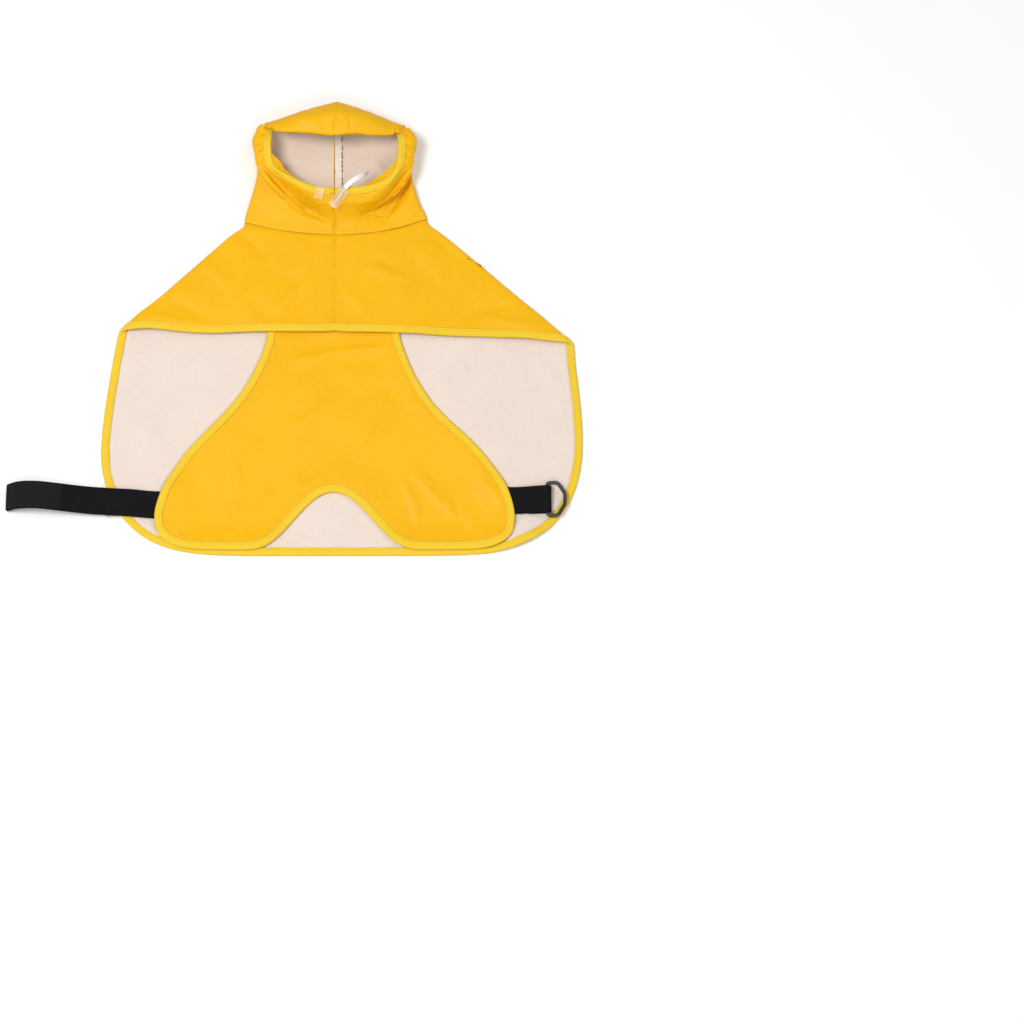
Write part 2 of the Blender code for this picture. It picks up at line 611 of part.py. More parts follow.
def hood_ring(ring, side, order):
    """One ring of a hood half, from the throat seam round the side to the back seam."""
    seam_x = CENTRE_X + side * GAP / 2
    bend = ring["bend"]
    tilt = radians(ring["tilt"])
    start = radians(ring["start"])
    centre = Vector((CENTRE_X + side * (ring["side_x"] - bend), ring["side_y"], ring["side_z"]))
    outwards = Vector((side, 0.0, 0.0))
    upwards = Vector((0.0, -sin(tilt), cos(tilt)))
    bend_points = []
    for step in range(FOLD_STEPS + 1):
        turn = mix(start, pi, step / FOLD_STEPS)
        lift = Vector((0.0, 0.0, ring.get("rise", 0.0) * ease(step / FOLD_STEPS)))
        bend_points.append(centre + (outwards * sin(turn) + upwards * cos(turn)) * bend + lift)
    fronts = len(FRONT_SHARES) - 1
    front_end = bend_points[0]
    points = []
    for index in range(fronts):
        share = sin(pi / 2 * max(index - 1, 0) / (fronts - 1))
        cup = 1.0 - (1.0 - share ** HOOD_CUP_POWER) ** (1.0 / HOOD_CUP_POWER)
        sweep = mix(share ** NECK_BOW, cup, ring["cup"])
        band = side * SEAM_BAND * (1.0 - share) if index > 0 else 0.0
        x = mix(seam_x, front_end.x, share) + band
        y = mix(ring["front_y"], front_end.y, sweep)
        z = mix(ring["front_z"], front_end.z, sweep)
        if side < 0:
            y += LEFT_LIP_RISE * ring["cup"] ** 3 * ease((share - 0.25) / 0.4) * (1.0 - share ** 3)
        z -= throat_fold_depth(x, y) * ease(order / 3.0) * (1.0 - ease((order - 6.0) / 2.0))
        points.append(Vector((x, y, z)))
    points += bend_points[:-1]
    back_end = bend_points[-1]
    backs = len(BACK_SHARES) - 1
    for index in range(backs + 1):
        share = cos(pi / 2 * min(index, backs - 1) / (backs - 1))
        sweep = mix(share ** HOOD_ROOF_POWER, share, ring["roof"])
        band = side * SEAM_BAND * (1.0 - share) if index < backs else 0.0
        x = mix(seam_x, back_end.x, share) + band
        y = mix(ring["back_y"], back_end.y, sweep)
        z = mix(ring["back_z"], back_end.z, share ** 2.0)
        points.append(Vector((x, y, max(z, flap_rise(x, y)))))
    return points


def opening_rings(lip, side):
    """The rail and the cut edge of the face opening, from its lip."""
    fronts = len(FRONT_SHARES) - 1
    rail = []
    cut = []
    for index, point in enumerate(lip):
        before = lip[max(index - 1, 0)]
        after = lip[min(index + 1, len(lip) - 1)]
        along = Vector((after.x - before.x, after.y - before.y, 0.0))
        if index <= 1:
            along = Vector((side, 0.0, 0.0))
        into = Vector((-along.y, along.x, 0.0)).normalized() * side
        corner = ease((index - fronts) / FOLD_STEPS)
        roll = 0.0
        if index >= fronts + FOLD_STEPS:
            reach = abs(point.x - CENTRE_X) / abs(lip[fronts + FOLD_STEPS].x - CENTRE_X)
            roll = 1.0 - reach ** BRIM_ROLL_POWER
            into = Vector((0.0, -1.0, 0.0))
        rail_turn = mix(mix(pi / 2 - THROAT_RAIL_PITCH, CORNER_RAIL_TURN, corner),
                        BRIM_RAIL_TURN, roll)
        tape_turn = mix(mix(pi / 2 - THROAT_TAPE_PITCH, CORNER_TAPE_TURN, corner),
                        BRIM_TAPE_TURN, roll)
        rail_way = into * sin(rail_turn) + Vector((0.0, 0.0, cos(rail_turn)))
        tape_way = into * sin(tape_turn) + Vector((0.0, 0.0, cos(tape_turn)))
        rail.append(point + rail_way * LIP_TO_RAIL)
        cut.append(rail[-1] + tape_way * RAIL_WIDTH)
    return rail, cut


def neck_ring(neck_row, side):
    """The hood's first ring, lying just beyond the body's neck edge."""
    half = (len(neck_row) + 1) // 2
    row = neck_row[:half] if side < 0 else list(reversed(neck_row))[:half]
    points = [Vector((point.x, point.y + GAP, point.z)) for point in row]
    points[-1].x = CENTRE_X + side * GAP / 2
    return points


def build_hood(parts, neck_row):
    cuts = []
    rails = []
    normals = []
    for side, name in ((-1, "hood_left"), (1, "hood_right")):
        sheet = Sheet()
        first = neck_ring(neck_row, side)
        rings = [first, [point + Vector((0.0, NECK_BAND, 0.0)) for point in first]]
        rings += [hood_ring(ring, side, order) for order, ring in enumerate(HOOD_RINGS)]
        rings += opening_rings(rings[-1], side)
        rows = [sheet.add_row(points) for points in rings]
        for row, next_row in zip(rows, rows[1:]):
            if side < 0:
                sheet.join(next_row, row)
            else:
                sheet.join(row, next_row)
        cloth = make_object(name, sheet.points, sheet.faces, COATED_YELLOW, parts)
        give_wall(cloth, CLOTH)
        way = 1 if side < 0 else -1
        rails += rings[-2][::way]
        cuts += rings[-1][::way]
        normals += station_normals(cloth, rows[-1][::way], rows[-2][::way])
        right_rings = rings
    tape("hood_binding", cuts, rails, normals, True, TAPE_YELLOW, parts)
    return right_rings


def allowance_point(ring, reach):
    """A point on a hood ring's back part, a given way from the back seam."""
    if reach <= SEAM_BAND:
        return mix(ring[-1], ring[-2], reach / SEAM_BAND)
    return ring[-2] + (ring[-3] - ring[-2]).normalized() * (reach - SEAM_BAND)


def build_allowance(parts, rings):
    """Raw edges of the hood's back seam, pressed to the right on the cream side."""
    first, last = ALLOWANCE_RINGS
    sheet = Sheet()
    rows = []
    for index in range(first, last + 1):
        ring = rings[index]
        along = rings[index + 1][-2] - rings[index - 1][-2]
        across = ring[-3] - ring[-1]
        inwards = along.cross(across).normalized() * -1.0
        if inwards.z < 0.0 and index < 5:
            inwards = -inwards
        rows.append(sheet.add_row([allowance_point(ring, reach) + inwards * ALLOWANCE_LIFT
                                   for reach in (0.2, SEAM_BAND, ALLOWANCE_WIDTH)]))
    for row, next_row in zip(rows, rows[1:]):
        sheet.join(row, next_row)
    strip = make_object("hood_seam_allowance", sheet.points, sheet.faces, CREAM, parts)
    give_wall(strip, ALLOWANCE_WALL)


# ---- belly panel ------------------------------------------------------------------------------
def strap_y(x):
    """Middle of the straps across the belly panel."""
    if x > 0.0:
        return RING_BAR_Y
    share = (x - STRAP_SIDE_LINE[0]["x"]) / (STRAP_SIDE_LINE[-1]["x"] - STRAP_SIDE_LINE[0]["x"])
    return mix(STRAP_Y_AT_BODY, STRAP_Y_AT_TIP, share)


def strap_rise(x, y):
    """The belly panel rides up over the sewn ends of both straps."""
    along = ease((abs(x) - STRAP_INNER_END + 16.0) / 14.0)
    away = max(0.0, abs(y - strap_y(x)) - WEB_WIDTH / 2 - 1.0)
    return STRAP_CLEAR * along * (1.0 - ease(away / 16.0))


def under_belly(point, back_edge):
    """Top of whatever the belly panel lies on."""
    distance = distance_to_line(flat(point), back_edge)
    edge = 2 * TAPE_SIDE * (1.0 - ease((distance - TAPE_WIDTH - 1.5) / EDGE_FALL))
    curl = CURL_HEIGHT * curl_share(point, 0.3) * (1.0 - ease(distance / 34.0))
    over_flap = flap_rise(point[0], point[1], 6.0)
    return CLOTH + max(edge + curl + strap_rise(point[0], point[1]), over_flap)


def notch(x):
    """How far the notch rises above the panel's bottom edge."""
    reach = min(1.0, abs(x - NOTCH_X) / NOTCH_HALF)
    return NOTCH_HEIGHT * (0.5 + 0.5 * cos(pi * reach))


def belly_bottom():
    """Bottom edge of the belly panel in plan, left to right."""
    shares = list(BELLY_SHARES) + [-share for share in reversed(BELLY_SHARES[:-1])]
    points = []
    for share in shares:
        end = BELLY_FOOT_LEFT if share < 0 else BELLY_FOOT_RIGHT
        x = mix(BELLY_FOOT_LEFT.x, BELLY_FOOT_RIGHT.x, (share + 1.0) / 2.0)
        y = mix(BELLY_BOTTOM_Y, end.y, abs(share) ** (2 * BELLY_CORNER_BOW))
        points.append(Vector((x, y + notch(x))))
    return points


def build_belly(parts):
    outer = [Vector((row["left"], row["y"])) for row in BELLY_SECTIONS]
    outer += belly_bottom()
    outer += [Vector((row["right"], row["y"])) for row in reversed(BELLY_SECTIONS)]
    normals = inwards_normals(outer)
    cut = [point + normal * CUT_INSET for point, normal in zip(outer, normals)]
    rail = [point + normal * RAIL_INSET for point, normal in zip(outer, normals)]
    back_edge = back_outline()

    def placed(point):
        distance = distance_to_line(flat(point), outer)
        height = under_belly(point, back_edge) + CLOTH + GAP + edge_rise(distance)
        return Vector((point.x, point.y, height))

    sections = len(BELLY_SECTIONS)
    bottom = rail[sections:-sections]
    last = BELLY_STRAIGHT_ROWS - 1
    sheet = Sheet()
    rows = []
    for index in range(sections):
        left = rail[index]
        right = rail[len(rail) - 1 - index]
        points = []
        for order, foot in enumerate(bottom):
            across = (foot.x - bottom[0].x) / (bottom[-1].x - bottom[0].x)
            spot = mix(left, right, across)
            if index >= BELLY_STRAIGHT_ROWS and 0 < order < len(bottom) - 1:
                base = mix(rail[last], rail[len(rail) - 1 - last], across).y
                down = (base - spot.y) / (base - bottom[0].y)
                spot = Vector((spot.x, mix(base, foot.y, down)))
            points.append(placed(spot))
        rows.append(sheet.add_row(points))
    rows.append(sheet.add_row([placed(point) for point in bottom]))
    for row, next_row in zip(rows, rows[1:]):
        sheet.join(next_row, row)
    loop = [row[0] for row in rows[:-1]] + rows[-1] + [row[-1] for row in reversed(rows[:-1])]
    flange = sheet.add_row([placed(point) for point in cut])
    sheet.join(flange, loop)
    cloth = make_object("belly_panel", sheet.points, sheet.faces, COATED_YELLOW, parts)
    give_wall(cloth, CLOTH)
    tape("belly_binding", [sheet.points[index] for index in flange],
         [sheet.points[index] for index in loop], station_normals(cloth, flange, loop),
         False, TAPE_YELLOW, parts)


# ---- leash flap -------------------------------------------------------------------------------
def build_flap(parts):
    centre_y = FLAP_TIP_Y + FLAP_HALF
    side_spots = [Vector((-FLAP_HALF, y - centre_y)) for y in FLAP_ROWS]
    side_spots += [Vector((-cos(radians(turn)), -sin(radians(turn)))) * FLAP_HALF
                   for turn in FLAP_SIDE_TURNS]
    tip = [Vector((-cos(radians(turn)), -sin(radians(turn)))) * FLAP_HALF for turn in FLAP_TIP_TURNS]
    mirrored = [Vector((-spot.x, spot.y)) for spot in reversed(side_spots)]
    middle = Vector((FLAP_X, centre_y))
    outer = [middle + spot for spot in side_spots + tip + mirrored]
    normals = inwards_normals(outer)
    cut = [point + normal * CUT_INSET for point, normal in zip(outer, normals)]
    rail = [point + normal * RAIL_INSET for point, normal in zip(outer, normals)]

    count = len(side_spots)
    foot = rail[count:-count]
    sheet = Sheet()
    rows = []
    straight = len(FLAP_ROWS)
    for index in range(count):
        left = rail[index]
        right = rail[len(rail) - 1 - index]
        down = max(0, index - straight + 1) / (count - straight + 1)
        points = []
        for point in foot:
            across = (point.x - foot[0].x) / (foot[-1].x - foot[0].x)
            spot = mix(left, right, across)
            dip = mix(foot[0].y, foot[-1].y, across) - point.y
            points.append(Vector((spot.x, spot.y - dip * down, TAPE_SIDE)))
        rows.append(sheet.add_row(points))
    rows.append(sheet.add_row([Vector((point.x, point.y, TAPE_SIDE)) for point in foot]))
    for row, next_row in zip(rows, rows[1:]):
        sheet.join(row, next_row)
    loop = [row[0] for row in rows[:-1]] + rows[-1] + [row[-1] for row in reversed(rows[:-1])]
    flange = sheet.add_row([Vector((point.x, point.y, TAPE_SIDE)) for point in cut])
    sheet.join(loop, flange)
    cloth = make_object("leash_flap", sheet.points, sheet.faces, COATED_YELLOW, parts)
    give_wall(cloth, CLOTH)
    tape("flap_binding", [sheet.points[index] for index in flange],
         [sheet.points[index] for index in loop], station_normals(cloth, flange, loop),
         False, TAPE_YELLOW, parts)


# ---- straps and ring --------------------------------------------------------------------------
def smooth(line, steps):
    """A finer line through the same points."""
    points = []
    for index in range(len(line) - 1):
        before = line[max(index - 1, 0)]
        start, end = line[index], line[index + 1]
        after = line[min(index + 2, len(line) - 1)]
        for step in range(steps):
            share = step / steps
            points.append(0.5 * (2 * start + (end - before) * share
                                 + (2 * before - 5 * start + 4 * end - after) * share ** 2
                                 + (3 * start - before - 3 * end + after) * share ** 3))
    return points + [line[-1]]


def side_normals(line):
    """Unit normals of a line seen from the side, upwards where it runs to the left."""
    normals = []
    for index in range(len(line)):
        along = line[min(index + 1, len(line) - 1)] - line[max(index - 1, 0)]
        normals.append(Vector((along.z, 0.0, -along.x)).normalized())
    return normals


def webbing(name, line, width, thickness, look, parts):
    """A flat strap along a line of its middle; it lies across Y."""
    points = []
    for middle, normal in zip(line, side_normals(line)):
        for side_way, rise in ((-1, -1), (1, -1), (1, 1), (-1, 1)):
            points.append(middle + Vector((0.0, side_way * width / 2, 0.0))
                          + normal * (rise * thickness / 2))
    faces = [(3, 2, 1, 0)]
    for station in range(len(line) - 1):
        here, there = station * 4, station * 4 + 4
        for corner in range(4):
            following = (corner + 1) % 4
            faces.append((here + corner, here + following, there + following, there + corner))
    last = (len(line) - 1) * 4
    faces.append((last, last + 1, last + 2, last + 3))
    made = make_object(name, points, faces, look, parts)
    face_outwards(made)


def build_long_strap(parts):
    line = [Vector((row["x"], strap_y(row["x"]), row["z"])) for row in STRAP_SIDE_LINE]
    line = smooth(line, 3)
    webbing("strap_long", line, WEB_WIDTH, WEB_THICK, WEBBING, parts)
    lift = WEB_THICK / 2 + GAP + PATCH_THICK / 2
    raised = [point + normal * lift for point, normal in zip(line, side_normals(line))]
    length = 0.0
    patch = [raised[-1] + (raised[-2] - raised[-1]).normalized()]
    for point in reversed(raised[:-1]):
        length += (point - patch[-1]).length
        patch.append(point)
        if length > PATCH_LENGTH:
            break
    webbing("strap_patch", list(reversed(patch)), PATCH_WIDTH, PATCH_THICK, WEBBING, parts)


def build_short_strap(parts):
    bar = Vector((RING_BAR_X, RING_BAR_Y, RING_BAR_Z))
    top = smooth([Vector((row["x"], RING_BAR_Y, row["z"])) for row in SHORT_STRAP_TOP], 2)
    loop = []
    for turn in range(105, -106, -21):
        loop.append(bar + Vector((cos(radians(turn)), 0.0, sin(radians(turn)))) * WEB_LOOP)
    under = [Vector((row["x"], RING_BAR_Y, row["z"])) for row in SHORT_STRAP_UNDER]
    webbing("strap_short", top + loop + under, WEB_WIDTH, WEB_THICK, WEBBING, parts)


def rounded(corners, radius, steps):
    """A closed line with its corners rounded."""
    points = []
    for index, corner in enumerate(corners):
        before = corners[index - 1]
        after = corners[(index + 1) % len(corners)]
        start = corner + (before - corner).normalized() * radius
        end = corner + (after - corner).normalized() * radius
        for step in range(steps + 1):
            share = step / steps
            points.append(mix(mix(start, corner, share), mix(corner, end, share), share))
    return points


def wire(name, points, thickness, closed, look, parts, origin=Vector((0.0, 0.0, 0.0))):
    """A round bar or cord along a line of points, which count from its origin."""
    curve = bpy.data.curves.new(name, "CURVE")
    curve.dimensions = "3D"
    curve.bevel_depth = thickness / 2 * MM
    curve.bevel_resolution = 2
    curve.use_fill_caps = not closed
    spline = curve.splines.new("POLY")
    spline.points.add(len(points) - 1)
    for spot, point in zip(spline.points, points):
        spot.co = (point[0] * MM, point[1] * MM, point[2] * MM, 1.0)
    spline.use_cyclic_u = closed
    spline.use_smooth = True
    curve.materials.append(material(name + "_look", look["colour"], look["roughness"]))
    made = bpy.data.objects.new(name, curve)
    made.location = origin * MM
    parts.objects.link(made)


def build_ring(parts):
    corners = [Vector((0.0, -RING_HALF)), Vector((RING_SHOULDER, -RING_HALF)),
               Vector((RING_APEX, -RING_TIP_HALF)), Vector((RING_APEX, RING_TIP_HALF)),
               Vector((RING_SHOULDER, RING_HALF)), Vector((0.0, RING_HALF))]
    points = []
    for spot in rounded(corners, RING_ROUND, 4):
        points.append((spot.x * cos(RING_LIFT), spot.y, spot.x * sin(RING_LIFT)))
    bar = Vector((RING_BAR_X, RING_BAR_Y, RING_BAR_Z))
    wire("ring_buckle", points, RING_WIRE, True, MOULDED_BLACK, parts, bar)


# ---- drawcord ---------------------------------------------------------------------------------
def moulded(name, size, middle, turn, pitch, parts):
    """A clear moulded piece: a block with rounded edges."""
    shape = bmesh.new()
    bmesh.ops.create_cube(shape, size=1.0)
    for vertex in shape.verts:
        vertex.co = Vector((vertex.co.x * size[0], vertex.co.y * size[1], vertex.co.z * size[2]))
    bmesh.ops.bevel(shape, geom=list(shape.edges), offset=min(size) * 0.22, segments=2,
                    profile=0.5, affect="EDGES")
    points = []
    for vertex in shape.verts:
        x, y, z = vertex.co
        y, z = y * cos(pitch) - z * sin(pitch), y * sin(pitch) + z * cos(pitch)
        x, y = x * cos(turn) - y * sin(turn), x * sin(turn) + y * cos(turn)
        points.append(middle + Vector((x, y, z)))
    shape.faces.ensure_lookup_table()
    faces = [tuple(vertex.index for vertex in face.verts) for face in shape.faces]
    shape.free()
    made = make_object(name, points, faces, CLEAR, parts)
    face_outwards(made)


def build_drawcord(parts):
    wire("drawcord", CORD_ROUTE, CORD_THICK, False, CORD_WHITE, parts)
    moulded("cord_lock", (LOCK_WIDTH, LOCK_LENGTH, LOCK_HEIGHT), LOCK_MIDDLE, LOCK_TURN,
            LOCK_PITCH, parts)
    moulded("cord_tab", TAB_SIZE, TAB_MIDDLE, TAB_TURN, TAB_PITCH, parts)


def main():
    clear_scene()
    parts = new_collection("dog_raincoat")
    neck_row = build_body(parts)
    rings = build_hood(parts, neck_row)
    build_allowance(parts, rings)
    build_belly(parts)
    build_flap(parts)
    build_long_strap(parts)
    build_short_strap(parts)
    build_ring(parts)
    build_drawcord(parts)


main()
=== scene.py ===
"""Dog raincoat of coated cloth, laid flat with its belly side up.

Each cut piece is a thin sheet shaped over its own solid in the frame, with folded edge tape,
stitching, webbing straps, a moulded ring and the hood's drawcord with its lock.
Lengths in the tables are millimetres.
"""

from math import cos, pi, radians, sin

import bmesh
import bpy
import numpy as np
from bpy.props import FloatProperty, FloatVectorProperty, IntProperty, PointerProperty
from mathutils import Matrix, Vector, noise
from mathutils.bvhtree import BVHTree
from mathutils.kdtree import KDTree


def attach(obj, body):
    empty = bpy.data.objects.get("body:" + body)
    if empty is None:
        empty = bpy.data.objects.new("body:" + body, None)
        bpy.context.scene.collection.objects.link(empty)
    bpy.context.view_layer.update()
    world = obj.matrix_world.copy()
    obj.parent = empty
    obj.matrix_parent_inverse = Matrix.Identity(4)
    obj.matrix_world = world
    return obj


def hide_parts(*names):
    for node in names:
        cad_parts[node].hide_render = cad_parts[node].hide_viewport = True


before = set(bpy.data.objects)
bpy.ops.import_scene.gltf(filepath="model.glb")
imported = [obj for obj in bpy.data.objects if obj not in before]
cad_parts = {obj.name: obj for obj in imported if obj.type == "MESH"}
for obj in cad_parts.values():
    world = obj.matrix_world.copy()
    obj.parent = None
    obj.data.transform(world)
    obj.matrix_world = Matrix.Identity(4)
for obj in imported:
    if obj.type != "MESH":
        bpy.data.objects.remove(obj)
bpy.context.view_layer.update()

bl_info = {
    "name": "Dog Raincoat",
    "version": (1, 0, 0),
    "blender": (4, 5, 0),
    "location": "View3D > Sidebar > Raincoat",
    "description": "Makes a coated dog raincoat that lies flat with its belly side up",
    "category": "Add Mesh",
}

MM = 0.001
UP = Vector((0.0, 0.0, 1.0))

# ---- creases: start x, y, end x, y, width, height, bow ------------------------------------------
YOKE_CREASES = [
    (-30, 40, -50, 8, 5.0, -1.1, 2), (-38, 40, -58, 14, 7.0, 0.8, 2),
    (24, 66, 57, 53, 4.5, -0.9, 2), (28, 58, 66, 44, 6.0, 0.6, -2),
    (-92, 90, -66, 62, 6.0, -0.9, 4), (84, 92, 118, 60, 6.0, -0.7, -3),
    (-120, 60, -96, 34, 8.0, 0.7, 3), (-150, 22, -118, 10, 5.0, -0.8, 2),
    (150, 22, 108, 9, 6.0, -0.9, -3), (186, 2, 128, 14, 5.0, 0.8, 2),
    (-168, 8, -120, 4, 4.0, 0.7, 0), (62, 82, 96, 40, 10.0, 0.8, 5),
    (-12, 80, -24, 52, 5.0, -0.5, 1), (6, 34, 26, 12, 7.0, 0.6, 2),
    (-80, 30, -60, 6, 7.0, -0.6, -2), (88, 30, 70, 6, 7.0, -0.6, 2), (14, 84, 36, 78, 3.0, -0.5, 1),
    (-40, 86, -20, 82, 3.0, -0.4, 1),
]
BELLY_CREASES = [
    (-50, -34, 46, -17, 5.0, 1.0, 3), (-44, -42, 30, -29, 6.0, -0.7, 3),
    (34, -56, 4, -124, 8.0, -1.2, 6), (44, -60, 16, -120, 9.0, 0.9, 6),
    (-102, -112, -106, -198, 6.0, -1.0, 4), (-92, -118, -94, -192, 7.0, 0.8, 4),
    (70, -118, 140, -172, 6.0, -1.1, -5), (64, -128, 124, -184, 7.0, 0.8, -5),
    (-30, -96, -58, -150, 8.0, -0.7, 4), (-4, -60, -40, -90, 7.0, 0.6, 3),
    (-128, -130, -146, -176, 5.0, -0.8, 2), (104, -150, 112, -194, 5.0, -0.8, -2),
    (128, -140, 146, -166, 4.0, 0.8, 2), (-58, -144, -80, -176, 5.0, 0.7, 2),
    (56, -140, 70, -180, 5.0, 0.8, 2), (-50, 4, -40, -18, 4.0, -0.7, 1),
    (42, 2, 34, -14, 4.0, -0.6, 1), (-16, -134, -34, -146, 4.0, 0.6, 2),
]
BACK_CREASES = [
    (-186, -84, -150, -112, 5.0, 0.7, 2), (96, -20, 116, -44, 4.0, 0.6, 2),
    (-190, -40, -160, -22, 6.0, 0.6, 2), (190, -60, 160, -96, 7.0, 0.6, 4),
    (-176, -130, -150, -150, 6.0, 0.6, 2), (-120, -30, -96, -62, 7.0, 0.6, 3),
    (198, -120, 178, -146, 5.0, 0.7, 2), (-30, -170, 20, -186, 7.0, 0.5, 2),
    (132, -40, 168, -34, 6.0, 0.5, 3), (-150, -6, -110, -14, 5.0, 0.6, 2),
    (150, -8, 196, -20, 5.0, 0.6, 2), (-196, -104, -186, -140, 4.0, 0.5, 1),
    (-50, -188, -90, -196, 6.0, 0.5, 2), (60, -184, 96, -196, 6.0, 0.5, -2),
]
# Waves of the front hems: middle along the hem, reach, shift up the page, lift.
HEM_WAVES = [(-168, 20, 2.4, 1.6), (-112, 26, -1.6, 0.3), (98, 22, -0.9, 0.4), (168, 22, 1.0, 0.9)]
CORNER_CURLS = [(196, -160, 146, -199, 3.6, 2.4, -9), (-190, -172, -148, -200, 3.2, 1.6, 5)]
THROAT_CREASES = [
    (-72, 150, -10, 103, 4.2, -4.4, -4), (-60, 152, -18, 116, 5.0, 2.4, -4),
    (-68, 138, -30, 100, 7.0, 1.6, -4), (69, 152, 17, 96, 4.6, -5.0, 5),
    (58, 150, 28, 118, 5.0, 2.2, 5), (72, 138, 38, 100, 7.0, 1.4, 5),
    (-44, 122, -4, 99, 3.6, -1.8, -3), (48, 116, 24, 95, 4.0, -1.6, 3),
    (12, 111, 36, 107, 3.0, -1.2, -3), (-26, 112, -10, 106, 3.0, 1.0, -1),
    (-74, 122, -52, 104, 4.0, 0.8, 2), (74, 120, 56, 100, 4.0, 0.8, 2),
    (-52, 132, -24, 104, 3.0, -1.2, -5), (54, 134, 34, 104, 3.0, -1.2, 5),
    (-62, 142, -14, 107, 9.0, -4.4, -5), (62, 144, 24, 104, 9.0, -4.6, 6),
]
EAR_CREASES = [
    (-77, 177, -62, 171, 1.5, -1.0, 0), (-77, 170, -64, 167, 2.8, 0.9, 0),
    (-74, 158, -63, 162, 1.5, -1.5, 0), (-76, 164, -66, 165, 1.4, -0.7, 0),
    (-72, 150, -60, 154, 2.0, -1.0, 0), (-66, 183, -58, 174, 1.6, -1.1, 0),
    (71, 180, 57, 173, 1.6, -1.6, 0), (71, 172, 58, 168, 2.6, 0.9, 0),
    (63, 184, 54, 175, 1.5, -1.3, 0), (70, 164, 58, 164, 1.5, -1.3, 0),
    (70, 154, 58, 157, 2.0, -1.0, 0), (57, 184, 50, 177, 1.4, -0.9, 0),
]
# Where the hood's ears are pushed out: middle x and y seen from above, push x and y, size.
EAR_PUSHES = [(-67, 192, -1.5, 3.6, 9.0), (61, 188, 1.8, 4.2, 9.0), (-71, 190, -0.6, 1.8, 6.0)]
# For the left (-1) and right (1) half of the hood: middle of the part of the hem that rolls in,
# and the corner where the brim folds back.
HEM_ROLLS = {-1: (-57, 144), 1: (42, 136)}
BRIM_CORNERS = {-1: (-62, 180, 33), 1: (58, 178, 32)}
CROWN_CREASES = [
    (10, 184, 11, 172, 1.6, -1.1, 0), (-40, 184, -14, 176, 5.0, 0.7, 2),
    (44, 180, 24, 172, 5.0, 0.7, -2), (-60, 176, -46, 166, 3.0, -0.9, 1),
    (58, 174, 50, 166, 3.0, -0.9, -1), (-22, 172, -8, 168, 3.0, 0.6, 1),
    (20, 170, 34, 168, 3.0, 0.6, 1),
]
HOOD_BACK_CREASES = [
    (-60, 120, -26, 168, 8.0, -1.2, 6), (54, 122, 26, 164, 8.0, -1.2, -6),
    (-30, 120, -14, 150, 5.0, 0.6, 3), (34, 120, 18, 150, 5.0, 0.6, -3),
]

# ---- seams: the lines where two pieces meet -----------------------------------------------------
CENTRE_SEAM_X = -3.0
THREAD_LIFT = 0.12
SEAM_CLOSER = 0.14         # how much a sewn edge closes its seam
NECK_OPEN = -0.1           # the neck seam stays a little open
TURN_IN = 1.3              # how deep a sewn edge turns in
LOWEST = 0.02              # cloth and thread stay this far above the floor
HEM_ROLL_REACH = 9.0       # how far the opening's hem shows where it rolls in
HEM_ROLL_SPREAD = 19.0
OPENING_LIP = 5.8          # the face opening's lip to the line where its tape begins
OPENING_RAIL = 6.7         # from that line to the cut edge inside the tape
# How far the soft brim hangs into the opening: distance from the centre seam, drop.
BRIM_DROPS = {
    -1: [(0, 3.2), (9, 3.7), (20, 3.0), (33, 3.8), (48, 4.2), (54, 3.0), (58.5, 1.6), (62.4, 0.2),
         (66, 0)],
    1: [(0, 3.2), (3, 3.2), (12, 2.8), (21, 3.0), (29, 4.6), (36, 5.6), (42, 6.0), (51, 6.2),
        (54.4, 6.4), (58.5, 5.2), (62.4, 3.2), (65.7, 0.8), (68.3, 0)],
}
# How the brim's edge is turned under: distance from the centre seam, then the tape's line and the
# cut edge from the lip, each inwards, up the page and up.
BRIM_TURNS = [
    (51.3, 0.0, 2.8, -5.1, 0.0, 7.0, -10.3), (54.4, 0.2, 2.7, -5.2, 1.2, 6.6, -9.8),
    (58.5, 0.7, 2.4, -6.0, 3.6, 5.2, -10.8), (62.4, 1.9, 2.6, -5.7, 6.4, 4.1, -9.2),
    (65.7, 3.4, 2.0, -2.8, 9.0, 1.6, -3.6), (68.3, 4.9, -0.8, 1.2, 11.0, -1.6, 1.4),
    (70.4, 5.3, 0.4, 2.4, 11.8, 0.9, 4.0),
]

# ---- sections: the tape's as inset and share of its half thickness, the strap's as share of its
# half width and half thickness -------------------------------------------------------------------
TAPE_SECTION = [
    (1.0, 0.42), (1.0, 0.80), (0.965, 0.95), (0.89, 1.0), (0.80, 0.93), (0.745, 0.90), (0.68, 0.96),
    (0.52, 1.0), (0.33, 1.0), (0.17, 0.93), (0.06, 0.68), (0.0, 0.25), (0.0, -0.25), (0.06, -0.68),
    (0.17, -0.93), (0.33, -1.0), (0.52, -1.0), (0.68, -0.96), (0.745, -0.90), (0.80, -0.93),
    (0.89, -1.0), (0.965, -0.95), (1.0, -0.80), (1.0, -0.42), (0.6, -0.33), (0.24, -0.3),
    (0.24, 0.3), (0.6, 0.33),
]
WEB_SECTION = [
    (-1.0, 0.0), (-0.985, 0.55), (-0.95, 0.86), (-0.88, 0.98), (-0.6, 1.0), (-0.2, 1.0), (0.2, 1.0),
    (0.6, 1.0), (0.88, 0.98), (0.95, 0.86), (0.985, 0.55), (1.0, 0.0), (0.985, -0.55),
    (0.95, -0.86), (0.88, -0.98), (0.6, -1.0), (0.2, -1.0), (-0.2, -1.0), (-0.6, -1.0),
    (-0.88, -0.98), (-0.95, -0.86), (-0.985, -0.55),
]
STITCH_COLUMNS = (5, 18)   # places in the tape's section where it is sewn
WEB_MIDDLES = (5, 17)      # two places in the strap's section that face each other
TAPE_OVERHANG = 1.3        # from the cut edge to the tape's outer edge
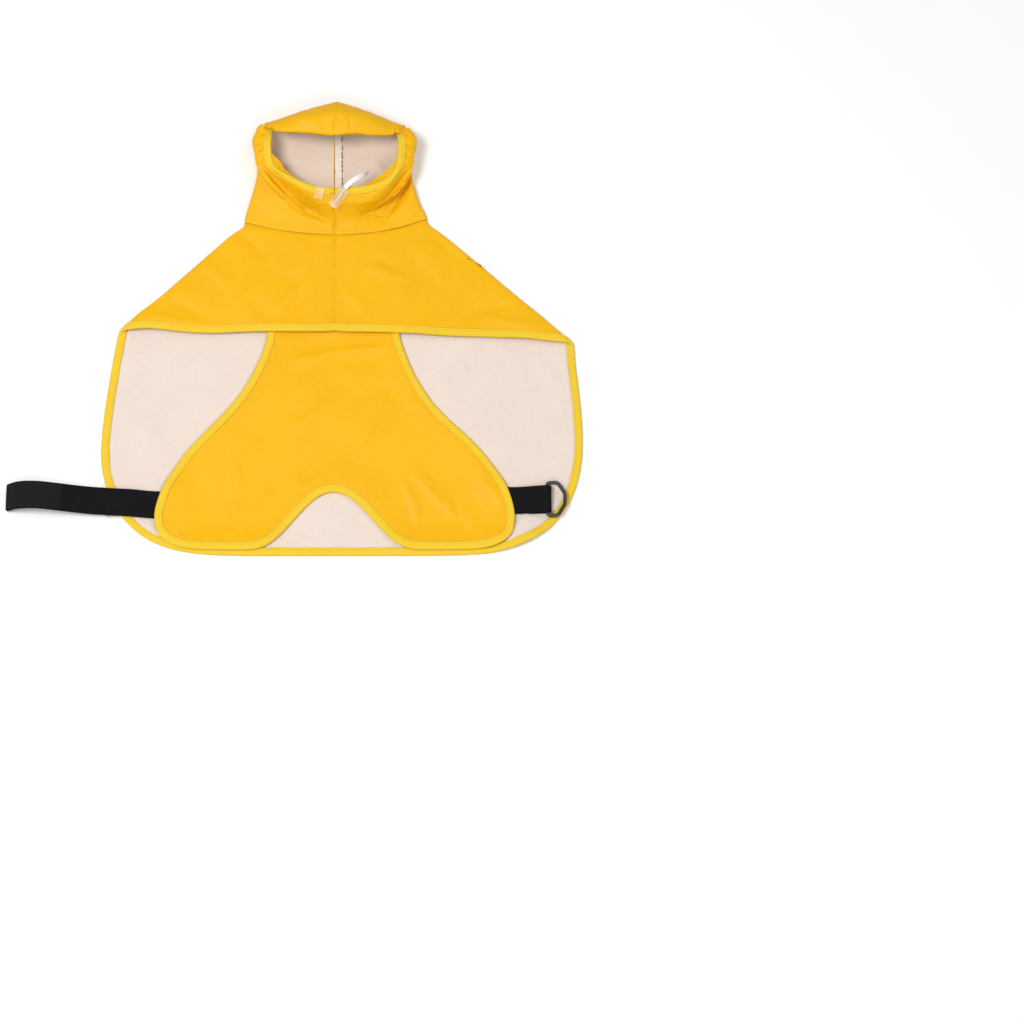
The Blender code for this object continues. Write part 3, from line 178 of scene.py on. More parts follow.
TAPE_SPACING, WEB_SPACING, CORD_SPACING = 0.0022, 0.0016, 0.0008

# ---- straps, seen from the side: place along X and height of the middle -------------------------
LONG_STRAP = [
    (-138, 2.5), (-150, 2.5), (-161, 2.6), (-168, 3.4), (-175, 4.9), (-183, 5.6), (-198, 6.1),
    (-212, 7.0), (-226, 9.8), (-240, 14.2), (-253, 18.1), (-264, 19.1), (-273, 16.5),
    (-280.5, 10.6), (-286.5, 2.2),
]
SHORT_STRAP_TOP = [
    (134, 2.5), (146, 2.5), (157, 2.6), (163, 3.9), (169, 5.6), (175, 7.5), (180, 9.1),
]
SHORT_STRAP_UNDER = [(178, 3.6), (172, 3.0), (166, 2.7)]
RING_BAR = (184.5, -157.8, 7.0)
STRAP_LOOP = 2.9
LONG_STRAP_STITCHES = (-198.0, -200.6, -146.0, -149.0)
SHORT_STRAP_STITCHES = (167.5, 170.0)
PATCH_START = -239.5
PATCH_WIDTH, PATCH_THICKNESS, PATCH_LIFT = 0.0232, 0.0009, 0.0007

# ---- drawcord: the same points as its solid, then its two strands inside the lock ---------------
CORD_ROUTE = [
    (6.4, 123.1, 30.3), (8.4, 125.8, 31.1), (11.4, 128.6, 31.9), (14.9, 131.2, 31.9),
    (18.3, 133.7, 30.9), (21.3, 136.2, 28.7), (23.8, 138.7, 25.6), (25.6, 140.8, 21.6),
    (26.2, 141.5, 19.6),
]
LOCK_STRANDS = [(6.6, 123.3, 30.2), (4.2, 119.9, 29.6), (1.0, 115.6, 28.9), (-3.0, 110.2, 28.0)]
STRAND_SIDE = (0.81, 0.59, 0.0)
STRAND_OFFSET = 1.25
STRAND_RADIUS = 0.0010
# The clear mouldings: size, middle, turn about Z and tilt about X.
LOCK_PLACE = ((8.3, 19.6, 5.8), (0.4, 114.8, 28.45), -36.0, 10.0)
TAB_PLACE = ((7.5, 10.8, 1.7), (-16.6, 119.9, 27.1), -12.0, 14.0)

# ---- stage, in metres ---------------------------------------------------------------------------
CAMERA_PLACE, CAMERA_AIM = Vector((0.0, -0.67242, 2.06950)), Vector((0.15330, -0.16769, 0.0))
CAMERA_ROLL = radians(-1.0030)
CAMERA_LENS = 85.0
FLOOR_SIZE, FLOOR_HEIGHT = 8.0, -0.0004
SKY_STRENGTH = 0.37
LIGHTS = (  # name, place, aim, size, power
    ("key_light", (-0.8, -0.3, 2.2), (0.0, 0.0, 0.0), 0.7, 34.0),
    ("front_light", (0.3, -1.3, 1.9), (0.0, 0.1, 0.0), 0.8, 10.0),
    ("fill_light", (1.4, 0.5, 1.9), (0.05, 0.0, 0.0), 1.2, 9.0),
)


# ---- what a user would change -------------------------------------------------------------------
def measure(name, description, default, low, high):
    return FloatProperty(name=name, description=description, default=default, min=low, max=high,
                         unit="LENGTH")


def tint(name, description, default):
    return FloatVectorProperty(name=name, description=description, default=default, min=0.0,
                               max=1.0, size=3, subtype="COLOR")


class RaincoatSizes(bpy.types.PropertyGroup):
    """Sizes of the cloth, tape, thread and webbing."""
    cloth_wall: measure("Cloth thickness", "Coated cloth from its yellow to its cream side",
                        0.0005, 0.0003, 0.001)
    creasing: FloatProperty(
        name="Creasing", description="Strength of the creases, 0 for freshly pressed cloth",
        default=1.0, min=0.0, max=1.5, subtype="FACTOR")
    tape_width: measure("Tape width", "Seen width of the folded edge tape", 0.007, 0.005, 0.009)
    tape_half: measure("Tape half thickness", "From the middle of the cloth to the tape's face",
                       0.0016, 0.0011, 0.0018)
    stitch_pitch: measure("Stitch pitch", "Distance from one stitch to the next",
                          0.003, 0.002, 0.006)
    stitch_length: measure("Stitch length", "Length of thread that shows in each stitch",
                           0.0023, 0.001, 0.004)
    thread_thickness: measure("Thread thickness", "Thickness of the sewing thread",
                              0.00045, 0.0002, 0.001)
    web_width: measure("Webbing width", "Width of both straps", 0.0246, 0.02, 0.026)
    web_thickness: measure("Webbing thickness", "Thickness of both straps", 0.0016, 0.001, 0.0018)
    cord_width: measure("Cord width", "Width of the flat drawcord", 0.0045, 0.003, 0.0048)
    cord_thickness: measure("Cord thickness", "Thickness of the flat drawcord",
                            0.0016, 0.001, 0.0024)
    fineness: IntProperty(
        name="Fineness", description="How often the hood's net is divided",
        default=3, min=1, max=3)


class RaincoatColours(bpy.types.PropertyGroup):
    """Colours of the materials."""
    shell: tint("Coating", "Outside of the cloth", (0.84, 0.445, 0.003))
    lining: tint("Cloth back", "Inside of the cloth", (0.84, 0.715, 0.63))
    # Cloth back inside the hood: the cloth back's cream made warmer, which is painted bounce light
    # from the yellow walls.
    hood_lining_painted_bounce: tint("Hood's cloth back", "Inside of the hood, warmer with painted bounce light", (0.84, 0.69, 0.575))
    allowance: tint("Seam allowance", "Raw strip pressed over the hood's seam",
                    (0.93, 0.84, 0.74))
    tape: tint("Edge tape", "Folded tape round every edge", (0.86, 0.575, 0.026))
    thread: tint("Thread", "Sewing thread on tape and cloth", (0.90, 0.54, 0.03))
    webbing: tint("Webbing", "Both straps", (0.0070, 0.0070, 0.0078))
    moulded: tint("Ring", "Moulded ring buckle", (0.014, 0.015, 0.018))
    cord: tint("Drawcord", "Flat elastic cord", (0.93, 0.92, 0.93))
    floor: tint("Floor", "Surface that the coat lies on", (0.93, 0.93, 0.93))


def sizes():
    return bpy.context.scene.raincoat_sizes


def colours():
    return bpy.context.scene.raincoat_colours


# ---- small helpers ------------------------------------------------------------------------------
def ease(share):
    share = np.clip(share, 0.0, 1.0)
    return share * share * (3.0 - 2.0 * share)


def let_go():
    """Leaves edit mode with nothing selected."""
    if bpy.context.object and bpy.context.object.mode != "OBJECT":
        bpy.ops.object.mode_set(mode="OBJECT")
    bpy.ops.object.select_all(action="DESELECT")


def pick(piece):
    """Makes one object the only selected and the active one."""
    let_go()
    piece.select_set(True)
    bpy.context.view_layer.objects.active = piece


def edit(piece, kind="FACE"):
    """Opens one piece in edit mode with all of it selected."""
    pick(piece)
    bpy.ops.object.mode_set(mode="EDIT")
    bpy.ops.mesh.select_mode(type=kind)
    bpy.ops.mesh.select_all(action="SELECT")


def choose(piece, kind, wanted):
    """In edit mode, selects the parts that wanted lists from the edit mesh, and counts them."""
    bpy.ops.mesh.select_mode(type=kind)
    bpy.ops.mesh.select_all(action="DESELECT")
    shape = bmesh.from_edit_mesh(piece.data)
    parts = wanted(shape)
    for part in parts:
        part.select = True
    bmesh.update_edit_mesh(piece.data)
    return len(parts)


def choose_faces(piece, test):
    return choose(piece, "FACE", lambda shape: [face for face in shape.faces if test(face)])


def mesh_piece(name, points, faces):
    mesh = bpy.data.meshes.new(name)
    mesh.from_pydata(points, [], faces)
    mesh.update()
    piece = bpy.data.objects.new(name, mesh)
    bpy.context.scene.collection.objects.link(piece)
    return piece


def copy_of_solid(name, node):
    """A copy of a solid with its loose triangles merged, left open in edit mode."""
    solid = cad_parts[node].data
    piece = mesh_piece(name, [vertex.co.copy() for vertex in solid.vertices],
                       [tuple(polygon.vertices) for polygon in solid.polygons])
    edit(piece)
    bpy.ops.mesh.remove_doubles(threshold=0.00001)
    return piece


def apply_modifier(piece, kind, **settings):
    """Adds one modifier, sets it and applies it."""
    pick(piece)
    made = piece.modifiers.new(kind.lower(), kind)
    for setting, value in settings.items():
        setattr(made, setting, value)
    bpy.ops.object.modifier_apply(modifier=made.name)


def smooth_faces(piece, angle=60.0):
    pick(piece)
    bpy.ops.object.shade_smooth_by_angle(angle=radians(angle))


def hand_over(piece, nodes=(), body="garment"):
    """Parents a piece to the body it moves with and hides the solids it stands for."""
    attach(piece, body)
    if nodes:
        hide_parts(*nodes)
    let_go()
    return piece


def complete(piece, look, angle, nodes=(), body="garment"):
    """Gives a piece its material and smooth faces, and hands it over."""
    piece.data.materials.append(bpy.data.materials[look])
    smooth_faces(piece, angle)
    return hand_over(piece, nodes, body)


def curve_through(points, steps):
    """Points on a smooth curve through the given ones."""
    points = [Vector(point) for point in points]
    line = []
    for place in range(len(points) - 1):
        before = points[max(place - 1, 0)]
        start, end = points[place], points[place + 1]
        after = points[min(place + 2, len(points) - 1)]
        for step in range(steps):
            share = step / steps
            line.append(0.5 * (
                2.0 * start + (end - before) * share
                + (2.0 * before - 5.0 * start + 4.0 * end - after) * share ** 2
                + (3.0 * start - before - 3.0 * end + after) * share ** 3))
    line.append(points[-1])
    return line


def spaced(line, gap, closed=False):
    """The same line with its points a nearly even gap apart, and their distance along it."""
    line = np.array(line, dtype=float)
    if closed:
        line = np.vstack((line, line[:1]))
    steps = np.linalg.norm(np.diff(line[:, :3], axis=0), axis=1)
    along = np.concatenate(([0.0], np.cumsum(steps)))
    count = max(3, int(round(along[-1] / gap)))
    places = np.linspace(0.0, along[-1], count + 1)
    if closed:
        places = places[:-1]
    even = np.column_stack([np.interp(places, along, column) for column in line.T])
    return even, places, along[-1]


def unit(rows):
    return rows / np.maximum(np.linalg.norm(rows, axis=1, keepdims=True), 1e-12)


def even_out(columns, closed):
    """Twice averages each point of some lines with its neighbours."""
    for _ in range(2):
        for column in columns:
            eased = (np.roll(column, 1, axis=0) + 2 * column + np.roll(column, -1, axis=0)) / 4
            if closed:
                column[:] = eased
            else:
                column[1:-1] = eased[1:-1]


def girth(section, across, up):
    """Distance round a section to each of its points, and all the way round."""
    around = [0.0]
    for (inset, rise), (after, rise_after) in zip(section, section[1:] + section[:1]):
        around.append(around[-1] + (((after - inset) * across) ** 2
                                    + ((rise_after - rise) * up) ** 2) ** 0.5)
    return around


def neighbours(pairs):
    """The vertices beside each vertex, from pairs that share an edge."""
    beside = {}
    for one, two in pairs:
        beside.setdefault(one, []).append(two)
        beside.setdefault(two, []).append(one)
    return beside


def skin(name, rows, closed_along, closed_round, along, around):
    """Faces over rows of points, with a UV map in metres along and across the rows."""
    count = len(rows[0])
    points = [point for row in rows for point in row]
    faces, corners = [], []
    last_row = len(rows) if closed_along else len(rows) - 1
    last_step = count if closed_round else count - 1
    for row in range(last_row):
        following = (row + 1) % len(rows)
        for step in range(last_step):
            beside = (step + 1) % count
            faces.append((row * count + step, row * count + beside,
                          following * count + beside, following * count + step))
            corners.append(((along[row], around[step]), (along[row], around[step + 1]),
                            (along[row + 1], around[step + 1]), (along[row + 1], around[step])))
    if closed_round and not closed_along:
        for row, order in ((0, -1), (len(rows) - 1, 1)):
            ring = [row * count + step for step in range(count)][::order]
            faces.append(tuple(ring))
            corners.append(tuple((along[row], around[step % count]) for step in range(count)))
    piece = mesh_piece(name, points, faces)
    chart = piece.data.uv_layers.new(name="weave")
    chart.data.foreach_set("uv", [value for face in corners for corner in face for value in corner])
    edit(piece)
    bpy.ops.mesh.normals_make_consistent(inside=False)
    let_go()
    return piece


# ---- stitches -----------------------------------------------------------------------------------
def one_stitch():
    """A short length of thread that dips into the cloth at both ends, along X."""
    let_go()
    bpy.ops.mesh.primitive_cylinder_add(vertices=6, radius=0.5, depth=0.6, end_fill_type="NGON",
                                        rotation=(0.0, radians(90), 0.0))
    stitch = bpy.context.object
    bpy.ops.object.transform_apply(location=True, rotation=True, scale=True)
    for side in (-1, 1):
        edit(stitch)
        choose_faces(stitch, lambda face: face.normal.x * side > 0.9)
        bpy.ops.mesh.extrude_region_move(
            TRANSFORM_OT_translate={"value": (0.2 * side, 0.0, -0.45)})
        bpy.ops.transform.resize(value=(1.0, 0.55, 0.55))
        bpy.ops.object.mode_set(mode="OBJECT")
    return stitch


def sew(name, places, look, length=None, thickness=None):
    """One mesh of stitches. Each place is a point, the seam's direction and the outward side."""
    length = length or sizes().stitch_length
    thickness = thickness or sizes().thread_thickness
    stitch = one_stitch()
    corners = np.array([tuple(vertex.co) for vertex in stitch.data.vertices])
    faces = [tuple(polygon.vertices) for polygon in stitch.data.polygons]
    bpy.data.objects.remove(stitch, do_unlink=True)
    points, all_faces = [], []
    for count, (spot, ahead, out) in enumerate(places):
        ahead = Vector(ahead).normalized()
        out = (Vector(out) - ahead * Vector(out).dot(ahead)).normalized()
        wander = 0.12 * noise.noise(Vector((count * 0.7, 3.1, 0.4)))
        ahead = (ahead + out.cross(ahead) * wander).normalized()
        side = out.cross(ahead)
        axes = np.array((tuple(ahead * length), tuple(side * thickness), tuple(out * thickness)))
        sewn = corners @ axes + np.array(tuple(spot))
        sewn[:, 2] = np.maximum(sewn[:, 2], 0.00002)
        first = len(points)
        points.extend(sewn.tolist())
        all_faces.extend(tuple(first + corner for corner in face) for face in faces)
    complete(mesh_piece(name, points, all_faces), look, 70.0)


def stitch_row(line, outward, pitch, closed=False):
    """Places for stitches along a line of points with their outward sides."""
    joined = np.hstack((np.array(line, dtype=float), np.array(outward, dtype=float)))
    even, _, _ = spaced(joined, pitch, closed)
    spots, outs = even[:, :3], unit(even[:, 3:])
    ahead = np.roll(spots, -1, axis=0) - np.roll(spots, 1, axis=0)
    if not closed:
        ahead[0], ahead[-1] = spots[1] - spots[0], spots[-1] - spots[-2]
    return [(spot + out * THREAD_LIFT * MM, step, out)
            for spot, step, out in zip(spots, unit(ahead), outs)
            if noise.noise(Vector(spot * 900.0)) > -0.9]


# ---- cloth --------------------------------------------------------------------------------------
def parts_of(shape):
    """The faces of an edit mesh, as groups that hang together."""
    left = set(shape.faces)
    groups = []
    while left:
        front = [left.pop()]
        group = []
        while front:
            face = front.pop()
            group.append(face)
            for edge in face.edges:
                for beside in edge.link_faces:
                    if beside in left:
                        left.remove(beside)
                        front.append(beside)
        groups.append(group)
    return groups


def coated_face(name, node, wall, topmost, span, levels, relax, reshape=None):
    """The outer face of a cloth solid as a smooth open sheet, its wall taken off.

    Its UV map is the piece laid out flat, in metres, so that the weave follows the cloth.
    """
    piece = copy_of_solid(name, node)
    choose_faces(piece, lambda face: any(abs(edge.calc_length() - wall * MM) < 0.000002
                                         for edge in face.edges))
    bpy.ops.mesh.delete(type="FACE")

    def height(group):
        return min(vertex.co.z for face in group for vertex in face.verts)

    def other_side(shape):
        groups = parts_of(shape)
        areas = [sum(face.calc_area() for face in group) for group in groups]
        sides = [group for group, area in zip(groups, areas) if area > 0.3 * max(areas)]
        kept = max(sides, key=height) if topmost else min(sides, key=height)
        return [face for group in groups if group is not kept for face in group]

    choose(piece, "FACE", other_side)
    bpy.ops.mesh.delete(type="FACE")
    for _ in range(7):
        if not choose(piece, "EDGE", lambda shape: [edge for edge in shape.edges
                                                    if edge.calc_length() > span * MM]):
            break
        bpy.ops.mesh.subdivide(number_cuts=1)
        bpy.ops.mesh.select_all(action="SELECT")
        bpy.ops.mesh.quads_convert_to_tris(quad_method="BEAUTY", ngon_method="BEAUTY")
    bpy.ops.mesh.select_all(action="SELECT")
    bpy.ops.mesh.beautify_fill(angle_limit=radians(1.0))
    bpy.ops.mesh.tris_convert_to_quads(face_threshold=radians(50), shape_threshold=radians(60))
    bpy.ops.uv.unwrap(method="CONFORMAL", margin=0.0)
    bpy.ops.object.mode_set(mode="OBJECT")
    lay_out_flat(piece)
    if reshape:
        reshape(piece)
    apply_modifier(piece, "SUBSURF", levels=levels, render_levels=levels,
                   boundary_smooth="PRESERVE_CORNERS", uv_smooth="PRESERVE_BOUNDARIES")
    ease_folds(piece)
    edit(piece, "VERT")
    choose(piece, "VERT", lambda shape: [vertex for vertex in shape.verts
                                         if not vertex.is_boundary])
    bpy.ops.mesh.vertices_smooth(factor=0.5, repeat=relax)
    bpy.ops.object.mode_set(mode="OBJECT")
    return piece


def tuck_brim(half):
    """Lets the soft brim hang and turns its edge under, so that its tape is hidden.

    The rows are found on the coarse net: cut edge, the line where the tape begins, and lip.
    """
    spots, _ = read_points(half)
    side = -1 if spots[:, 0].mean() < CENTRE_SEAM_X else 1
    path = edge_path(half, *opening_ends(side))
    beside = neighbours(edge.vertices for edge in half.data.edges)

    def partner(vertex, distance, taken):
        found = sorted((abs(np.linalg.norm(spots[other] - spots[vertex]) - distance), other)
                       for other in beside[vertex] if other not in taken)
        return found[0][1] if found and found[0][0] < 0.1 else None

    cut_row = set(path)
    moved = spots.copy()
    rows, unmatched = [], []
    drops, turns = np.array(BRIM_DROPS[side]), np.array(BRIM_TURNS)
    for place, cut in enumerate(path):
        rail = partner(cut, OPENING_RAIL, cut_row)
        lip = partner(rail, OPENING_LIP, cut_row | {rail}) if rail is not None else None
        if lip is None:
            unmatched.append(place)
            continue
        if spots[lip][1] < 163.0:
            continue
        reach = abs(spots[lip][0] - CENTRE_SEAM_X)
        drop = np.interp(reach, drops[:, 0], drops[:, 1])
        turn = [np.interp(reach, turns[:, 0], column) for column in turns.T[1:]]
        moved[lip] = spots[lip] - np.array((0.0, drop, 0.25 * drop))
        moved[rail] = moved[lip] + np.array((-side * turn[0], turn[1], turn[2]))
        moved[cut] = moved[lip] + np.array((-side * turn[3], turn[4], turn[5]))
        if rows and rows[-1][1] == rail:
            moved[cut] = moved[rows[-1][0]] + 0.6 * (spots[cut] - spots[rows[-1][0]])
        rows.append((cut, rail, lip))
    for place in unmatched:
        if 0 < place < len(path) - 1:
            before, after, here = path[place - 1], path[place + 1], path[place]
            share = np.linalg.norm(spots[here] - spots[before])
            share /= share + np.linalg.norm(spots[after] - spots[here])
            moved[here] = (spots[here] + (moved[before] - spots[before]) * (1.0 - share)
                           + (moved[after] - spots[after]) * share)
    for one, two in zip(rows, rows[1:]):
        for first, second in zip(one, two):
            for shared in set(beside[first]) & set(beside[second]):
                if np.linalg.norm(spots[shared] - (spots[first] + spots[second]) / 2) < 0.05:
                    moved[shared] = (moved[first] + moved[second]) / 2
    write_points(half, moved)


def opening_ends(side):
    """Where the edge of the face opening starts, passes and ends on one half of the hood."""
    return ((CENTRE_SEAM_X + 0.15 * side, 118.0, 26.0), (CENTRE_SEAM_X + 64.0 * side, 150.0, 30.0),
            (CENTRE_SEAM_X + 0.15 * side, 177.0, 33.0))


def read_chart(piece):
    """The UV map, a row for each corner of each face."""
    flat = np.zeros(len(piece.data.loops) * 2)
    piece.data.uv_layers.active.data.foreach_get("uv", flat)
    return flat.reshape(-1, 2)


def lay_out_flat(piece):
    """Scales and turns the UV map so that it is in metres with the cloth's length upright."""
    mesh = piece.data
    spots = np.array([tuple(mesh.vertices[loop.vertex_index].co) for loop in mesh.loops])
    flat = read_chart(piece)
    true_area = chart_area = 0.0
    for polygon in mesh.polygons:
        first, *others = polygon.loop_indices
        for one, two in zip(others, others[1:]):
            true_area += np.linalg.norm(np.cross(spots[one] - spots[first],
                                                 spots[two] - spots[first])) / 2
            a, b = flat[one] - flat[first], flat[two] - flat[first]
            chart_area += (a[0] * b[1] - a[1] * b[0]) / 2
    flat *= (true_area / abs(chart_area)) ** 0.5
    lower = np.argmin(spots[:, 1] + 0.001 * np.abs(spots[:, 0]))
    upper = np.argmin(np.hypot(spots[:, 0] - spots[lower, 0],
                               spots[:, 1] - spots[:, 1].max() * 0.5))
    rise = flat[upper] - flat[lower]
    turn = np.arctan2(rise[0], rise[1])
    turned = np.column_stack((flat[:, 0] * np.cos(turn) - flat[:, 1] * np.sin(turn),
                              flat[:, 0] * np.sin(turn) + flat[:, 1] * np.cos(turn)))
    turned -= turned.min(axis=0)
    chart = mesh.uv_layers.active
    chart.data.foreach_set("uv", turned.ravel())
    chart.name = "weave"


def flat_size(piece):
    """Width and length of the flat cut, and its area, from the UV map."""
    flat = read_chart(piece)
    width, length = flat.max(axis=0) - flat.min(axis=0)
    area = sum(polygon.area for polygon in piece.data.polygons)
    return (float(width), float(length)), float(min(area, width * length))


def read_points(piece):
    """Points and outward sides of a sheet, both as rows of numbers, points in millimetres."""
    mesh = piece.data
    spots = np.zeros(len(mesh.vertices) * 3)
    outs = np.zeros(len(mesh.vertices) * 3)
    mesh.vertices.foreach_get("co", spots)
    mesh.vertices.foreach_get("normal", outs)
    return spots.reshape(-1, 3) / MM, outs.reshape(-1, 3)


def write_points(piece, spots):
    piece.data.vertices.foreach_set("co", (spots * MM).ravel())
    piece.data.update()


def ease_folds(piece, limit=0.0, strokes=3):
    """Smooths a sheet only where two of its faces fold sharply against each other.

    limit is the cosine of the sharpest turn that stays, and strokes how often each round smooths.
    """
    def creased(shape):
        shape.normal_update()
        sharp = {vertex for edge in shape.edges if len(edge.link_faces) == 2
                 and edge.link_faces[0].normal.dot(edge.link_faces[1].normal) < limit
                 for face in edge.link_faces for vertex in face.verts}
        return [vertex for vertex in shape.verts if sharp and not vertex.is_boundary and (
            vertex in sharp or any(edge.other_vert(vertex) in sharp for edge in vertex.link_edges))]

    for _ in range(24):
        edit(piece, "VERT")
        found = choose(piece, "VERT", creased)
        if found:
            bpy.ops.mesh.vertices_smooth(factor=0.5, repeat=strokes)
        bpy.ops.object.mode_set(mode="OBJECT")
        if not found:
            break


def crease_heights(spots, creases):
    """Height that the listed creases add at each point, seen from above."""
    total = np.zeros(len(spots))
    for start_x, start_y, end_x, end_y, width, height, bow in creases:
        start = np.array((start_x, start_y), dtype=float)
        along = np.array((end_x, end_y), dtype=float) - start
        length = np.linalg.norm(along)
        share = (spots[:, :2] - start) @ along / length ** 2
        off = (spots[:, :2] - start) @ np.array((-along[1], along[0])) / length
        off = off - bow * np.sin(np.clip(share, 0, 1) * pi)
        taper = ease((share + 0.12) / 0.4) * ease((1.12 - share) / 0.4)
        steep = np.where(off > 0, width, width * 0.6)
        total += height * taper * np.exp(-(off / steep) ** 2)
    return total


def soft_noise(spots, size, seed):
    """Slow unevenness from -1 to 1."""
    return np.array([noise.noise(Vector((x / size, y / size, z / size + seed)))
                     for x, y, z in spots])


def room(spots, heights, direction, obstacles, margin, share=1.0):
    """Cuts heights down so that a moved sheet stays clear of the solids beyond it.

    Where a sheet moves towards its own other layer, share says how much of the gap it may take.
    """
    trees = [surface_tree([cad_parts[node]]) for node in obstacles]
    ahead = Vector(direction)
    cut = heights.copy()
    for place, (spot, height) in enumerate(zip(spots, heights)):
        if height <= 0.02:
            continue
        start = Vector(spot) * MM
        for tree in trees:
            origin = start + ahead * 0.0002
            for _ in range(4):
                spot_hit, side, _, _ = tree.ray_cast(origin, ahead, 0.05)
                if spot_hit is None:
                    break
                if side.dot(ahead) < 0.0:
                    gap = (spot_hit - start).length / MM - 1.0 - margin
                    cut[place] = min(cut[place], max(0.0, gap * share))
                    break
                origin = spot_hit + ahead * 0.00001
    return cut


def distance_to(spots, line):
    """Distance of each point to the nearest point of a line."""
    tree = KDTree(len(line))
    for place, spot in enumerate(line):
        tree.insert(spot, place)
    tree.balance()
    return np.array([tree.find(spot)[2] for spot in spots])


def seam_dip(distance, depth, width):
    return -depth * np.exp(-(distance / width) ** 2)


def turn_in(piece, sewn, neck=False):
    """Turns the sewn edges of a sheet inwards, so that a seam is a line and not a gap.

    sewn says of a point in millimetres whether it lies on a seam. A neck seam stays a little open.
    """
    spots, outs = read_points(piece)
    shape = bmesh.new()
    shape.from_mesh(piece.data)
    edges = [edge for edge in shape.edges
             if edge.is_boundary and all(sewn(spots[vertex.index]) for vertex in edge.verts)]
    for edge in edges:
        one, two = (vertex.co for vertex in edge.verts)
        middle = (one + two) / 2
        along = (two - one).normalized()
        away = middle - edge.link_faces[0].calc_center_median()
        away = (away - along * away.dot(along)).normalized()
        at_neck = neck and middle.y > 0.08 and abs(middle.x / MM - CENTRE_SEAM_X) > 1.5
        for vertex in edge.verts:
            vertex.co += away * (NECK_OPEN if at_neck else SEAM_CLOSER) * MM / 2
    made = bmesh.ops.extrude_edge_only(shape, edges=edges)
    inwards = {tuple(vertex.co): Vector(outs[vertex.index])
               for edge in edges for vertex in edge.verts}
    for item in made["geom"]:
        if isinstance(item, bmesh.types.BMVert):
            item.co -= inwards[tuple(item.co)] * TURN_IN * MM
    shape.to_mesh(piece.data)
    shape.free()
    piece.data.update()


def keep_up(piece):
    """Keeps a piece just above the floor."""
    spots, _ = read_points(piece)
    spots[:, 2] = np.maximum(spots[:, 2], LOWEST)
    write_points(piece, spots)


def give_wall(piece, outside, inside, rim=1):
    """Thickens the sheet inwards. Its cut edges show the outside with a rim of 0, else the back."""
    for look in (outside, inside):
        piece.data.materials.append(bpy.data.materials[look])
    keep_up(piece)
    apply_modifier(piece, "SOLIDIFY", thickness=sizes().cloth_wall, offset=-1.0, use_rim=True,
                   material_offset=1, material_offset_rim=rim)
    keep_up(piece)
    smooth_faces(piece, 65.0)


def paint(piece, mask, values):
    """Stores a mask from 0 to 1 on the points of a sheet."""
    made = piece.data.attributes.new(mask, "FLOAT", "POINT")
    made.data.foreach_set("value", np.clip(values, 0.0, 1.0))


def coat_folds(piece, also=lambda face: False):
    """Shows the coating on both sides of the wall where the cloth is folded back on itself."""
    folded = piece.data.attributes["folded"].data
    for face in piece.data.polygons:
        if also(face) or any(folded[vertex].value > 0.5 for vertex in face.vertices):
            face.material_index = 0


def hand_over_sheet(piece, cut, node, slot="shell", **more):
    """Hands a sheet over and hides its solid; cut, its flat size measured before it got its wall,
    is not used.
    """
    hand_over(piece, [node])


def cut_edge(piece):
    """The sheet's longest loop of cut edge, as an ordered list of vertex numbers."""
    shape = bmesh.new()
    shape.from_mesh(piece.data)
    beside = neighbours([vertex.index for vertex in edge.verts]
                        for edge in shape.edges if edge.is_boundary)
    shape.free()
    loops, seen = [], set()
    for start in beside:
        loop, following = [], [start] if start not in seen else []
        while following:
            loop.append(following[0])
            seen.add(following[0])
            following = [vertex for vertex in beside[following[0]] if vertex not in seen]
        loops.append(loop)
    return max(loops, key=len)


def edge_path(piece, start, via, end):
    """Vertices along the cut edge from the one nearest start, past via, to the one nearest end."""
    loop = cut_edge(piece)
    line = read_points(piece)[0][loop]
    first, middle, last = (
        int(np.argmin(np.linalg.norm(line - np.array(point, dtype=float), axis=1)))
        for point in (start, via, end))
    count = len(loop)
    places = [(first + step) % count for step in range((last - first) % count + 1)]
    if middle not in places:
        places = [(first - step) % count for step in range((first - last) % count + 1)]
    return [loop[place] for place in places]


def stations(piece, path):
    """Point, outward side and direction into the cloth at each vertex of a cut edge."""
    spots, outs = read_points(piece)
    line, up = spots[path], outs[path]
    into = unit(np.cross(up, unit(np.gradient(line, axis=0))))
    inner = neighbours(edge.vertices for edge in piece.data.edges)
    edge_set = set(path)
    votes = sum(float(np.dot(spots[beside] - spots[vertex], into[place]))
                for place, vertex in enumerate(path)
                for beside in inner.get(vertex, ()) if beside not in edge_set)
    return np.hstack((line, up, -into if votes < 0 else into))


def surface_tree(pieces):
    points, faces = [], []
    for piece in pieces:
        first = len(points)
        points.extend(vertex.co.copy() for vertex in piece.data.vertices)
        faces.extend(tuple(first + corner for corner in polygon.vertices)
                     for polygon in piece.data.polygons)
    return BVHTree.FromPolygons(points, faces)


